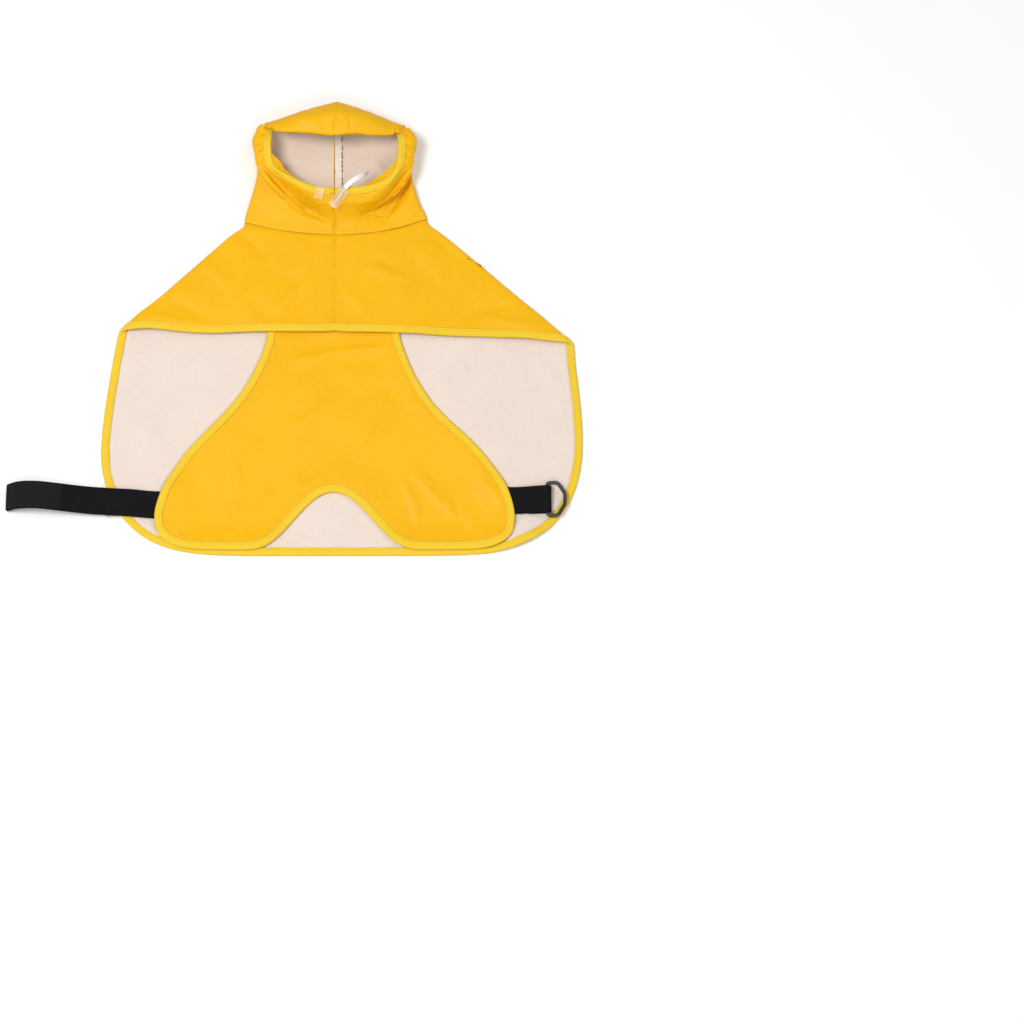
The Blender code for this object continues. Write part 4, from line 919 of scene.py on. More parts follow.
def edge_tape(name, edge, cloth, closed, seed, node):
    """Folded tape over a cut edge, so that both its faces follow the cloth, and its stitches."""
    width, half = sizes().tape_width, sizes().tape_half
    even, along, total = spaced(np.hstack((edge[:, :3] * MM, edge[:, 3:])), TAPE_SPACING, closed)
    spots, outs, into = even[:, :3], unit(even[:, 3:6]), even[:, 6:9]
    even_out((spots, outs, into), closed)
    outs = unit(outs)
    into = unit(into - outs * np.sum(into * outs, axis=1, keepdims=True))
    tree = surface_tree(cloth)
    middles = {}
    for inset in sorted({inset for inset, _ in TAPE_SECTION}):
        reach = inset * width - TAPE_OVERHANG * MM
        points, ups = [], []
        for spot, out, inwards in zip(spots, outs, into):
            here, up = Vector(spot + inwards * reach), Vector(out)
            if reach > 0.5 * MM:
                hit = tree.find_nearest(here, 0.006)
                if hit[0] is not None and hit[1].dot(up) > 0.2:
                    here = hit[0]
                    up = (up + hit[1] * 1.5).normalized()
            points.append(here - up * 0.0005)
            ups.append(up)
        points, ups = np.array(points), np.array(ups)
        even_out((points, ups), closed)
        middles[inset] = (points, unit(ups))
    rows = []
    for station, place in enumerate(along):
        wobble = noise.noise(Vector((place * 60.0, seed, 0.0)))
        pucker = 1.0 + 0.12 * noise.noise(Vector((place * 320.0, seed, 4.0)))
        row = []
        for inset, share in TAPE_SECTION:
            point, up = middles[inset][0][station], middles[inset][1][station]
            slip = into[station] * (wobble * 0.0005 if inset > 0.6 else 0.0)
            spot = point + up * (half * share * pucker) + slip
            row.append((spot[0], spot[1], max(spot[2], 0.00002)))
        rows.append(row)
    tape = skin(name, rows, closed, True, list(along) + [total], girth(TAPE_SECTION, width, half))
    complete(tape, "tape_finish", 60.0, [node])
    places = []
    for column in STITCH_COLUMNS:
        inset, share = TAPE_SECTION[column]
        ups = middles[inset][1] * (1.0 if share > 0 else -1.0)
        places += stitch_row([row[column] for row in rows], ups, sizes().stitch_pitch, closed)
    sew(name + "_stitches", places, "sewing_thread")
    return tape


# ---- materials ----------------------------------------------------------------------------------
def new_group(name, inputs, outputs):
    """An empty node group. inputs are names with their values, None for a vector."""
    group = bpy.data.node_groups.new(name, "ShaderNodeTree")
    for socket, value in [("Vector", None)] + inputs:
        kind = "NodeSocketVector" if value is None else "NodeSocketFloat"
        made = group.interface.new_socket(name=socket, in_out="INPUT", socket_type=kind)
        if value is not None:
            made.default_value = value
    for socket in outputs:
        group.interface.new_socket(name=socket, in_out="OUTPUT", socket_type="NodeSocketFloat")
    enter, leave = group.nodes.new("NodeGroupInput"), group.nodes.new("NodeGroupOutput")
    return group, enter.outputs, leave.inputs


def add(tree, kind, sources=(), **settings):
    """Adds a node, sets its properties, and its inputs to a value or to another node's output."""
    node = tree.nodes.new(kind)
    for setting, value in settings.items():
        setattr(node, setting, value)
    for socket, source in sources:
        if isinstance(source, bpy.types.NodeSocket):
            tree.links.new(source, node.inputs[socket])
        else:
            node.inputs[socket].default_value = source
    return node


def maths(tree, operation, first, second=0.0, **settings):
    return add(tree, "ShaderNodeMath", ((0, first), (1, second)), operation=operation,
               **settings).outputs[0]


def wave(tree, value):
    """Rounded ridges, one for each whole step of value."""
    return maths(tree, "ABSOLUTE", maths(tree, "SINE", maths(tree, "MULTIPLY", value, pi)))


def cloud_noise(tree, vector, scale, detail, **settings):
    return add(tree, "ShaderNodeTexNoise",
               (("Vector", vector), ("Scale", scale), ("Detail", detail), *settings.items()))


def weave_group():
    """Plain weave: threads pass over and under each other, one thread apart."""
    group, enter, leave = new_group(
        "plain_weave", [("Threads per metre", 1800.0), ("Unevenness", 0.3)], ["Height", "Thread"])

    def vector_maths(operation, *sources):
        return add(group, "ShaderNodeVectorMath", sources, operation=operation).outputs[0]

    scaled = vector_maths("SCALE", (0, enter[0]), (3, enter[1]))
    bent = cloud_noise(group, scaled, 0.12, 1.0).outputs["Color"]
    moved = vector_maths("ADD", (0, scaled),
                         (1, vector_maths("SCALE", (0, bent), (3, enter[2]))))
    weft, warp, _ = add(group, "ShaderNodeSeparateXYZ", ((0, moved),)).outputs
    over = maths(group, "PINGPONG", maths(group, "ADD", maths(group, "FLOOR", weft),
                                          maths(group, "FLOOR", warp)), 1.0)
    under = maths(group, "SUBTRACT", 1.0, over)
    height = maths(group, "ADD", maths(group, "MULTIPLY", wave(group, weft), over),
                   maths(group, "MULTIPLY", wave(group, warp), under))
    group.links.new(height, leave["Height"])
    group.links.new(over, leave["Thread"])


def mottle_group():
    """Slow cloudy variation with a finer one on top, from 0 to 1 around 0.5."""
    group, enter, leave = new_group(
        "mottle", [("Clouds per metre", 25.0), ("Fine share", 0.35)], ["Value"])
    broad = cloud_noise(group, enter[0], enter[1], 3.0).outputs[0]
    fine = cloud_noise(group, enter[0], maths(group, "MULTIPLY", enter[1], 11.0), 2.0).outputs[0]
    mixed = add(group, "ShaderNodeMix", ((0, enter[2]), (2, broad), (3, fine)), data_type="FLOAT")
    group.links.new(mixed.outputs[0], leave["Value"])


def crinkle_group():
    """Small creases of handled coated cloth, as a height."""
    group, enter, leave = new_group(
        "crinkle", [("Creases per metre", 60.0), ("Sharpness", 0.5)], ["Height"])
    bent = cloud_noise(group, enter[0], enter[1], 2.0, Distortion=0.6).outputs[0]
    folded = maths(group, "ABSOLUTE", maths(group, "SUBTRACT", bent, 0.5))
    sharp = maths(group, "POWER", maths(group, "MULTIPLY", folded, 2.0), enter[2])
    soft = cloud_noise(group, enter[0], maths(group, "MULTIPLY", enter[1], 0.4), 2.0).outputs[0]
    group.links.new(maths(group, "ADD", sharp, soft), leave["Height"])


def rib_group():
    """Ribs across a tape or strap: x runs along it, y across."""
    group, enter, leave = new_group(
        "ribs", [("Ribs per metre", 1200.0), ("Cords per metre", 900.0), ("Slant", 0.5)],
        ["Height", "Rib"])
    length, width, _ = add(group, "ShaderNodeSeparateXYZ", ((0, enter[0]),)).outputs
    across = maths(group, "MULTIPLY", width, enter[2])
    shift = maths(group, "MULTIPLY",
                  maths(group, "PINGPONG", maths(group, "FLOOR", across), 1.0), enter[3])
    rib = wave(group, maths(group, "ADD", maths(group, "MULTIPLY", length, enter[1]), shift))
    height = maths(group, "MULTIPLY", maths(group, "POWER", rib, 0.6),
                   maths(group, "POWER", wave(group, across), 0.4))
    group.links.new(height, leave["Height"])
    group.links.new(rib, leave["Rib"])


def break_up_group():
    """Turns the mask of wear and painted shade into a broken, uneven one."""
    group, enter, leave = new_group(
        "break_up_wear_and_shade", [("Mask", 0.0), ("Breaks per metre", 300.0)], ["Wear"])
    broken = cloud_noise(group, enter[0], enter[2], 4.0).outputs[0]
    lifted = maths(group, "MULTIPLY", maths(group, "SUBTRACT", broken, 0.35), 2.2)
    group.links.new(maths(group, "MULTIPLY", enter[1], lifted, use_clamp=True), leave["Wear"])


def shade(colour, factor):
    return tuple(min(1.0, part * factor) for part in colour) + (1.0,)


class Look:
    """One material with its shader and the nodes that feed it."""

    def __init__(self, name, roughness, specular=0.5, sheen=0.0, alpha=1.0):
        material = bpy.data.materials.new(name)
        material.use_nodes = True
        self.tree = material.node_tree
        self.shader = self.tree.nodes["Principled BSDF"]
        self.place = add(self.tree, "ShaderNodeTexCoord").outputs["Object"]
        for socket, value in (("Roughness", roughness), ("Specular IOR Level", specular),
                              ("Sheen Weight", sheen), ("Alpha", alpha)):
            self.shader.inputs[socket].default_value = value

    def chart(self):
        """The piece's own UV map, in metres."""
        return add(self.tree, "ShaderNodeUVMap", uv_map="weave").outputs[0]

    def group(self, name, *values):
        """The first output of a shared group, with this material's own values."""
        node = add(self.tree, "ShaderNodeGroup", node_tree=bpy.data.node_groups[name])
        for socket, value in zip(node.inputs, values):
            if isinstance(value, bpy.types.NodeSocket):
                self.tree.links.new(value, socket)
            else:
                socket.default_value = value
        return node.outputs[0]

    def mix(self, factor, first, second):
        return add(self.tree, "ShaderNodeMix", ((0, factor), (6, first), (7, second)),
                   data_type="RGBA").outputs[2]

    def part(self, mask, share):
        return maths(self.tree, "MULTIPLY", mask, share)

    def hollows(self, threads, share):
        """Mask of the hollows between threads, where the colour is darkened as painted shade."""
        return self.part(maths(self.tree, "SUBTRACT", 1.0, threads), share)

    def bump(self, height, depth, strength, before=None):
        sources = [("Height", height), ("Distance", depth), ("Strength", strength)]
        if before is not None:
            sources.append(("Normal", before))
        return add(self.tree, "ShaderNodeBump", sources).outputs[0]

    def feed(self, **sources):
        """Links outputs to the shader: colour, gloss or relief."""
        for name, source in sources.items():
            socket = {"colour": "Base Color", "gloss": "Roughness", "relief": "Normal"}[name]
            self.tree.links.new(source, self.shader.inputs[socket])


def make_looks():
    """Every material of the coat."""
    for make_group in (weave_group, mottle_group, crinkle_group, rib_group, break_up_group):
        make_group()
    palette = colours()

    look = Look("coated_cloth", 0.5, 0.18)
    threads = look.group("plain_weave", look.chart(), 1700.0, 0.5)
    clouds = look.group("mottle", look.place, 22.0, 0.3)
    folds = look.group("crinkle", look.place, 38.0, 0.6)
    # The mask darkens the coating: wear at the cut edges, a darker line along the centre seams, and
    # painted shade in the hood's fold valleys and along the neck seam.
    wear_and_shade = add(look.tree, "ShaderNodeAttribute", attribute_name="wear_and_shade").outputs["Fac"]
    patchy_wear_and_shade = look.group("break_up_wear_and_shade", look.place, wear_and_shade, 420.0)
    base = look.mix(clouds, shade(palette.shell, 0.90), shade(palette.shell, 1.07))
    look.feed(colour=look.mix(look.part(patchy_wear_and_shade, 0.45), base, shade(palette.shell, 0.72)),
              gloss=maths(look.tree, "ADD", look.part(clouds, 0.16), 0.36),
              relief=look.bump(folds, 0.00045, 0.5, look.bump(threads, 0.00005, 0.5)))

    # hood_back is a warmer copy of the cloth back for the inside of the hood: painted bounce light.
    for name, colour in (("cloth_back", palette.lining), ("hood_back", palette.hood_lining_painted_bounce),
                         ("pressed_allowance", palette.allowance)):
        look = Look(name, 0.82, 0.2, 0.15)
        threads = look.group("plain_weave", look.chart(), 1500.0, 0.9)
        clouds = look.group("mottle", look.place, 30.0, 0.45)
        folds = look.group("crinkle", look.place, 45.0, 0.7)
        base = look.mix(clouds, shade(colour, 0.90), shade(colour, 1.06))
        # Painted shade: the colour darkens in the hollows between the threads.
        look.feed(colour=look.mix(look.hollows(threads, 0.30), base, shade(colour, 0.74)),
                  relief=look.bump(folds, 0.0006, 0.5, look.bump(threads, 0.00012, 0.8)))

    look = Look("tape_finish", 0.6, 0.2, 0.03)
    rib = look.group("ribs", look.chart(), 1500.0, 1300.0, 0.5)
    clouds = look.group("mottle", look.place, 60.0, 0.4)
    base = look.mix(clouds, shade(palette.tape, 0.90), shade(palette.tape, 1.05))
    # Painted shade: the colour darkens in the hollows between the ribs.
    look.feed(colour=look.mix(look.hollows(rib, 0.35), base, shade(palette.tape, 0.74)),
              relief=look.bump(rib, 0.00012, 0.7))

    look = Look("webbing_finish", 0.75, 0.04)
    rib = look.group("ribs", look.chart(), 760.0, 640.0, 0.5)
    clouds = look.group("mottle", look.place, 90.0, 0.5)
    # Painted shade between the ribs and painted light on their crowns.
    base = look.mix(rib, shade(palette.webbing, 0.45), shade(palette.webbing, 1.25))
    look.feed(colour=look.mix(look.part(clouds, 0.35), base, shade(palette.webbing, 2.4)),
              relief=look.bump(rib, 0.00008, 0.6))

    look = Look("braided_cord", 0.6)
    turned = add(look.tree, "ShaderNodeMapping",
                 (("Vector", look.chart()), ("Rotation", (0.0, 0.0, radians(45))))).outputs[0]
    threads = look.group("plain_weave", turned, 1100.0, 0.3)
    clouds = look.group("mottle", look.place, 160.0, 0.4)
    base = look.mix(clouds, shade(palette.cord, 0.93), shade(palette.cord, 1.05))
    # Painted shade: the colour darkens in the hollows between the threads.
    look.feed(colour=look.mix(look.hollows(threads, 0.25), base, shade(palette.cord, 0.8)),
              relief=look.bump(threads, 0.00008, 0.7))

    # Plain finishes: dark and light colour, clouds per metre and their fine share, roughness and
    # how far the clouds change it, specular, alpha, depth and strength of the relief.
    for (name, dark, light, often, fine, roughness, vary, specular, alpha, depth, strength) in (
            ("sewing_thread", shade(palette.thread, 0.72), shade(palette.thread, 1.1),
             700.0, 0.5, 0.5, 0.0, 0.5, 1.0, 0.0, 0.0),
            ("seam_thread", (0.055, 0.03, 0.012, 1.0), (0.16, 0.09, 0.03, 1.0),
             700.0, 0.5, 0.6, 0.0, 0.5, 1.0, 0.0, 0.0),
            ("black_thread", (0.006, 0.006, 0.007, 1.0), (0.016, 0.016, 0.018, 1.0),
             700.0, 0.5, 0.6, 0.0, 0.15, 1.0, 0.0, 0.0),
            ("patch_finish", shade(palette.webbing, 0.8), shade(palette.webbing, 2.5),
             900.0, 0.5, 0.85, 0.0, 0.08, 1.0, 0.0003, 0.7),
            ("ring_finish", shade(palette.moulded, 0.8), shade(palette.moulded, 1.5),
             160.0, 0.5, 0.22, 0.18, 0.5, 1.0, 0.00008, 0.4),
            ("clear_finish", (0.86, 0.80, 0.70, 1.0), (1.0, 0.98, 0.93, 1.0),
             220.0, 0.5, 0.08, 0.2, 0.5, 0.14, 0.0, 0.0),
            ("pale_floor", shade(palette.floor, 0.99), shade(palette.floor, 1.01),
             1.5, 0.2, 0.9, 0.0, 0.1, 1.0, 0.0, 0.0)):
        look = Look(name, 0.5 if vary else roughness, specular, 0.0, alpha)
        clouds = look.group("mottle", look.place, often, fine)
        look.feed(colour=look.mix(clouds, dark, light))
        if vary:
            look.feed(gloss=maths(look.tree, "ADD", look.part(clouds, vary), roughness))
        if depth:
            look.feed(relief=look.bump(clouds, depth, strength))


# ---- stage --------------------------------------------------------------------------------------
class RAINCOAT_OT_stage(bpy.types.Operator):
    """Adds the camera, the pale floor and soft studio lights"""
    bl_idname = "raincoat.stage"
    bl_label = "Stage"

    def execute(self, context):
        make_looks()
        context.scene.view_settings.view_transform = "Standard"
        ahead = (CAMERA_AIM - CAMERA_PLACE).normalized()
        right = ahead.cross(Vector((0.0, 1.0, 0.0))).normalized()
        above = right.cross(ahead)
        turned = right * cos(CAMERA_ROLL) + above * sin(CAMERA_ROLL)
        above = above * cos(CAMERA_ROLL) - right * sin(CAMERA_ROLL)
        lens = bpy.data.cameras.new("camera")
        lens.lens, lens.sensor_width, lens.clip_end = CAMERA_LENS, 36.0, 20.0
        camera = bpy.data.objects.new("camera", lens)
        camera.matrix_world = Matrix.Translation(CAMERA_PLACE) @ Matrix(
            (turned, above, -ahead)).transposed().to_4x4()
        context.scene.collection.objects.link(camera)
        context.scene.camera = camera

        let_go()
        bpy.ops.mesh.primitive_plane_add(size=FLOOR_SIZE, location=(0.0, 0.0, FLOOR_HEIGHT))
        floor = context.object
        floor.name = "floor"
        bpy.ops.object.transform_apply(location=True, rotation=True, scale=True)
        floor.data.materials.append(bpy.data.materials["pale_floor"])

        sky = bpy.data.worlds.new("studio")
        sky.use_nodes = True
        background = sky.node_tree.nodes["Background"]
        background.inputs[0].default_value = (1.0, 1.0, 1.0, 1.0)
        background.inputs[1].default_value = SKY_STRENGTH
        context.scene.world = sky
        for name, spot, aim, size, power in LIGHTS:
            lamp = bpy.data.lights.new(name, "AREA")
            lamp.shape, lamp.size, lamp.energy = "SQUARE", size, power
            light = bpy.data.objects.new(name, lamp)
            light.location = spot
            light.rotation_euler = (Vector(aim) - Vector(spot)).to_track_quat("-Z", "Y").to_euler()
            context.scene.collection.objects.link(light)
        return {"FINISHED"}


# ---- drawcord -----------------------------------------------------------------------------------
def moulded_block(name, place, shape_it, node):
    """A small clear moulding, modelled upright at the origin and then put in its place."""
    size, middle, turn, tilt = place
    size = Vector(size) * MM
    let_go()
    bpy.ops.mesh.primitive_cube_add(size=1.0)
    block = bpy.context.object
    block.name = name
    block.scale = size
    bpy.ops.object.transform_apply(location=True, rotation=True, scale=True)
    edit(block)
    shape_it(block, size)
    block.matrix_world = (Matrix.Translation(Vector(middle) * MM)
                          @ Matrix.Rotation(radians(turn), 4, "Z")
                          @ Matrix.Rotation(radians(tilt), 4, "X"))
    pick(block)
    bpy.ops.object.transform_apply(location=True, rotation=True, scale=True)
    complete(block, "clear_finish", 40.0, [node])


def sink(inset, shift):
    """Insets the selected faces and moves them along shift."""
    bpy.ops.mesh.inset(thickness=inset, depth=0.0)
    bpy.ops.mesh.extrude_region_move(TRANSFORM_OT_translate={"value": shift})


def shape_lock(block, size):
    """Cord lock: a slotted barrel with a thumb recess and grip ridges."""
    bpy.ops.mesh.subdivide(number_cuts=3)

    def off(face, axis):
        """How far a face lies from the lock's middle, as a share of its size."""
        return abs(face.calc_center_median()[axis]) / size[axis]

    choose_faces(block, lambda face: face.normal.z > 0.9 and off(face, 1) < 0.30
                 and off(face, 0) < 0.3)
    sink(size.x * 0.06, (0.0, 0.0, -size.z * 0.22))
    for side in (-1, 1):
        choose_faces(block, lambda face: face.normal.x * side > 0.9 and off(face, 1) > 0.26)
        sink(size.z * 0.05, (-side * size.x * 0.07, 0.0, 0.0))
    for side in (-1, 1):
        choose_faces(block, lambda face: face.normal.y * side > 0.9 and off(face, 0) < 0.3
                     and off(face, 2) < 0.3)
        sink(size.z * 0.04, (0.0, -side * size.y * 0.12, 0.0))
    round_off(block, 0.00045)


def shape_tab(block, size):
    """Small flat tab with a raised rim and a rounded slot."""
    bpy.ops.mesh.subdivide(number_cuts=2)
    choose_faces(block, lambda face: face.normal.z > 0.9)
    sink(size.x * 0.14, (0.0, 0.0, -size.z * 0.3))
    round_off(block, 0.0003)


def round_off(block, width):
    apply_modifier(block, "BEVEL", width=width, segments=2, limit_method="ANGLE",
                   angle_limit=radians(40))


class RAINCOAT_OT_drawcord(bpy.types.Operator):
    """Makes the drawcord's free end, its clear lock and the small clear tab"""
    bl_idname = "raincoat.drawcord"
    bl_label = "Drawcord"

    def execute(self, context):
        route = [Vector(point) * MM for point in CORD_ROUTE]
        even, along, total = spaced([tuple(point) for point in curve_through(route, 12)],
                                    CORD_SPACING)
        width, thick = sizes().cord_width, sizes().cord_thickness
        flat = (UP * 0.6 + Vector((0.3, -0.6, 0.4))).normalized()
        rows = []
        for place, spot, step in zip(along, even, np.gradient(even, axis=0)):
            ahead = Vector(step).normalized()
            side = ahead.cross(flat).normalized()
            out = side.cross(ahead).normalized()
            row = []
            for corner in range(20):
                angle = 2 * pi * corner / 20
                reach = abs(cos(angle)) ** 0.55 * (1 if cos(angle) > 0 else -1)
                groove = 1.0 - 0.55 * np.exp(-(reach / 0.18) ** 2)
                fray = 1.0 + 0.05 * noise.noise(Vector((place * 900, corner * 0.8, 0.0)))
                row.append(tuple(Vector(spot) + side * (reach * width / 2 * fray)
                                 + out * (sin(angle) * groove * thick / 2)))
            rows.append(row)
        around = [width * 2.2 * step / 20 for step in range(21)]
        cord = skin("drawcord_braid", rows, False, True, list(along), around)
        complete(cord, "braided_cord", 60.0, ["drawcord"])
        inside = [self.strand("lock_strand_left", -STRAND_OFFSET),
                  self.strand("lock_strand_right", STRAND_OFFSET)]
        moulded_block("lock_barrel", LOCK_PLACE, shape_lock, "cord_lock")
        moulded_block("clear_tab", TAB_PLACE, shape_tab, "cord_tab")
        return {"FINISHED"}

    @staticmethod
    def strand(name, offset):
        """One of the cord's two strands where it passes through the lock."""
        shift = Vector(STRAND_SIDE) * offset * MM
        line = curve_through([Vector(point) * MM for point in LOCK_STRANDS], 6)
        even, along, _ = spaced([tuple(point + shift) for point in line], CORD_SPACING)
        ring = [np.array((STRAND_SIDE[0] * cos(angle), STRAND_SIDE[1] * cos(angle), sin(angle)))
                * STRAND_RADIUS for angle in (2 * pi * corner / 10 for corner in range(10))]
        rows = [[tuple(spot + corner) for corner in ring] for spot in even]
        piece = skin(name, rows, False, True, list(along), [0.00063 * step for step in range(11)])
        return complete(piece, "braided_cord", 60.0)


# ---- body ---------------------------------------------------------------------------------------
class RAINCOAT_OT_body(bpy.types.Operator):
    """Shapes the body: back panel and both fronts in one folded sheet, with its edge tape"""
    bl_idname = "raincoat.body"
    bl_label = "Body"

    def execute(self, context):
        body = coated_face("body_cloth", "body", 1.0, False, 10.0, 1, 3)
        spots, outs = read_points(body)
        strength = sizes().creasing
        facing = outs[:, 2]
        above = ease((facing - 0.3) / 0.5)
        below = ease((-facing - 0.3) / 0.5)
        centre = np.abs(spots[:, 0] - CENTRE_SEAM_X)

        # The fronts: creases, kept clear of what lies under them, and the puckered centre seam.
        lift = 1.5 * crease_heights(spots, YOKE_CREASES) + 0.6 * soft_noise(spots, 38.0, 1.0)
        lift += 0.16 * soft_noise(spots, 11.0, 2.0)
        down = room(spots, np.maximum(-lift, 0.0) * above, (0, 0, -1),
                    ("belly_panel", "belly_binding", "leash_flap", "flap_binding"), 0.3)
        down = room(spots, down, (0, 0, -1), ("body",), 0.4, 0.45)
        lift = np.maximum(lift, 0.0) * above - down
        seam = seam_dip(centre, 0.55, 1.3) * above * ease((spots[:, 1] - 6.0) / 4.0)
        pucker = (0.22 * np.sin(spots[:, 1] * 0.62 + 2.0 * soft_noise(spots, 20.0, 5.0))
                  * np.exp(-(centre / 6.0) ** 2))
        lift = lift * strength + seam + pucker * above * ease((spots[:, 1] - 8.0) / 6.0)

        # The back panel: it lies flat at its edge and rises a little further in.
        edge = spots[cut_edge(body)]
        rise = crease_heights(spots, BACK_CREASES) + 0.30 * soft_noise(spots, 30.0, 7.0) + 0.2
        rise += 0.14 * soft_noise(spots, 9.0, 8.0)
        rise = np.maximum(rise, 0.0) * below * strength
        from_edge = distance_to(spots, edge[edge[:, 1] < 8.0])
        rise *= ease((from_edge - 3.0) / 14.0)
        curls = crease_heights(spots, CORNER_CURLS) * below * strength
        rise += curls * ease((from_edge - 3.0) / 4.0)
        rise = room(spots, rise, (0, 0, 1),
                    ("belly_panel", "belly_binding", "strap_long", "strap_short", "ring_buckle",
                     "body_binding", "hood_left", "hood_right"), 0.3)
        rise = room(spots, rise, (0, 0, 1), ("body",), 0.4, 0.45)
        rise *= ease((92.0 - spots[:, 1]) / 8.0)
        neck_edge = np.exp(-(distance_to(spots, edge[edge[:, 1] > 80.0]) / 1.6) ** 2)
        spots += outs * (lift * (above > 0) - 0.9 * neck_edge * above)[:, None]
        spots[:, 2] += rise
        write_points(body, spots)
        self.wave_hem(body)
        ease_folds(body, 0.2, 8)
        # Mask that darkens the coating: wear near the cut edge, a darker line along the centre
        # seam, and painted shade along the neck seam.
        wear_and_shade = np.exp(-(from_edge / 9.0) ** 2) * 0.8 + np.exp(-(centre / 2.2) ** 2) * above * 0.9
        paint(body, "wear_and_shade", wear_and_shade + neck_edge * 0.9)
        fold_line = distance_to(spots, spots[(np.abs(facing) < 0.5) & (spots[:, 1] > 0.0)])
        paint(body, "folded", (fold_line < 3.5).astype(float))

        path = edge_path(body, (-3.15, -2.5, 6.0), (-207.0, -115.0, 1.0), (-2.85, -2.5, 6.0))
        tape = edge_tape("body_tape", stations(body, path), [body], True, 1.0, "body_binding")
        turn_in(body, lambda spot: spot[1] > 8.0 and spot[2] > 3.0, True)
        cut = flat_size(body)
        give_wall(body, "coated_cloth", "cloth_back")
        coat_folds(body)
        hand_over_sheet(body, cut, "body", held="folded", rests_on=["floor"], with_pieces=[tape])
        return {"FINISHED"}

    @staticmethod
    def wave_hem(body):
        """Lets the hems of both fronts run in slow waves, a little off the back panel."""
        spots, _ = read_points(body)
        front = ease((spots[:, 2] - 3.0) / 0.8) * ease((30.0 - spots[:, 1]) / 26.0)
        for middle, reach, along, up in HEM_WAVES:
            near = np.exp(-((spots[:, 0] - middle) / reach) ** 2) * front
            spots[:, 1] += along * near
            spots[:, 2] += up * near
        write_points(body, spots)


# ---- belly panel --------------------------------------------------------------------------------
class RAINCOAT_OT_belly(bpy.types.Operator):
    """Shapes the belly panel with its notch, its creases and its edge tape"""
    bl_idname = "raincoat.belly"
    bl_label = "Belly panel"

    def execute(self, context):
        belly = coated_face("belly_cloth", "belly_panel", 1.0, True, 11.0, 2, 3)
        spots, outs = read_points(belly)
        lift = 1.6 * crease_heights(spots, BELLY_CREASES) + 0.5 * soft_noise(spots, 36.0, 11.0)
        lift += 0.18 * soft_noise(spots, 10.0, 12.0)
        from_edge = distance_to(spots, spots[cut_edge(belly)])
        inner = ease((from_edge - 4.0) / 12.0)
        hidden = ease((4.0 - spots[:, 1]) / 10.0)
        lift *= sizes().creasing * inner * hidden
        lift = np.maximum(lift, -0.25)
        over_strap = (np.abs(spots[:, 1] + 158.0) < 18.0) & (np.abs(spots[:, 0]) > 128.0)
        lift = np.where(over_strap, np.maximum(lift, 0.0), lift)
        spots += outs * lift[:, None]
        write_points(belly, spots)
        ease_folds(belly)
        paint(belly, "wear_and_shade", np.exp(-(from_edge / 9.0) ** 2) * 0.85)
        path = edge_path(belly, (-61.0, 21.5, 3.0), (-4.0, -150.0, 3.0), (53.0, 21.5, 3.0))
        tape = edge_tape("belly_tape", stations(belly, path), [belly], False, 2.0, "belly_binding")
        cut = flat_size(belly)
        give_wall(belly, "coated_cloth", "cloth_back")
        hand_over_sheet(belly, cut, "belly_panel", held="laid", rests_on=["body_cloth"],
                        with_pieces=[tape])
        return {"FINISHED"}


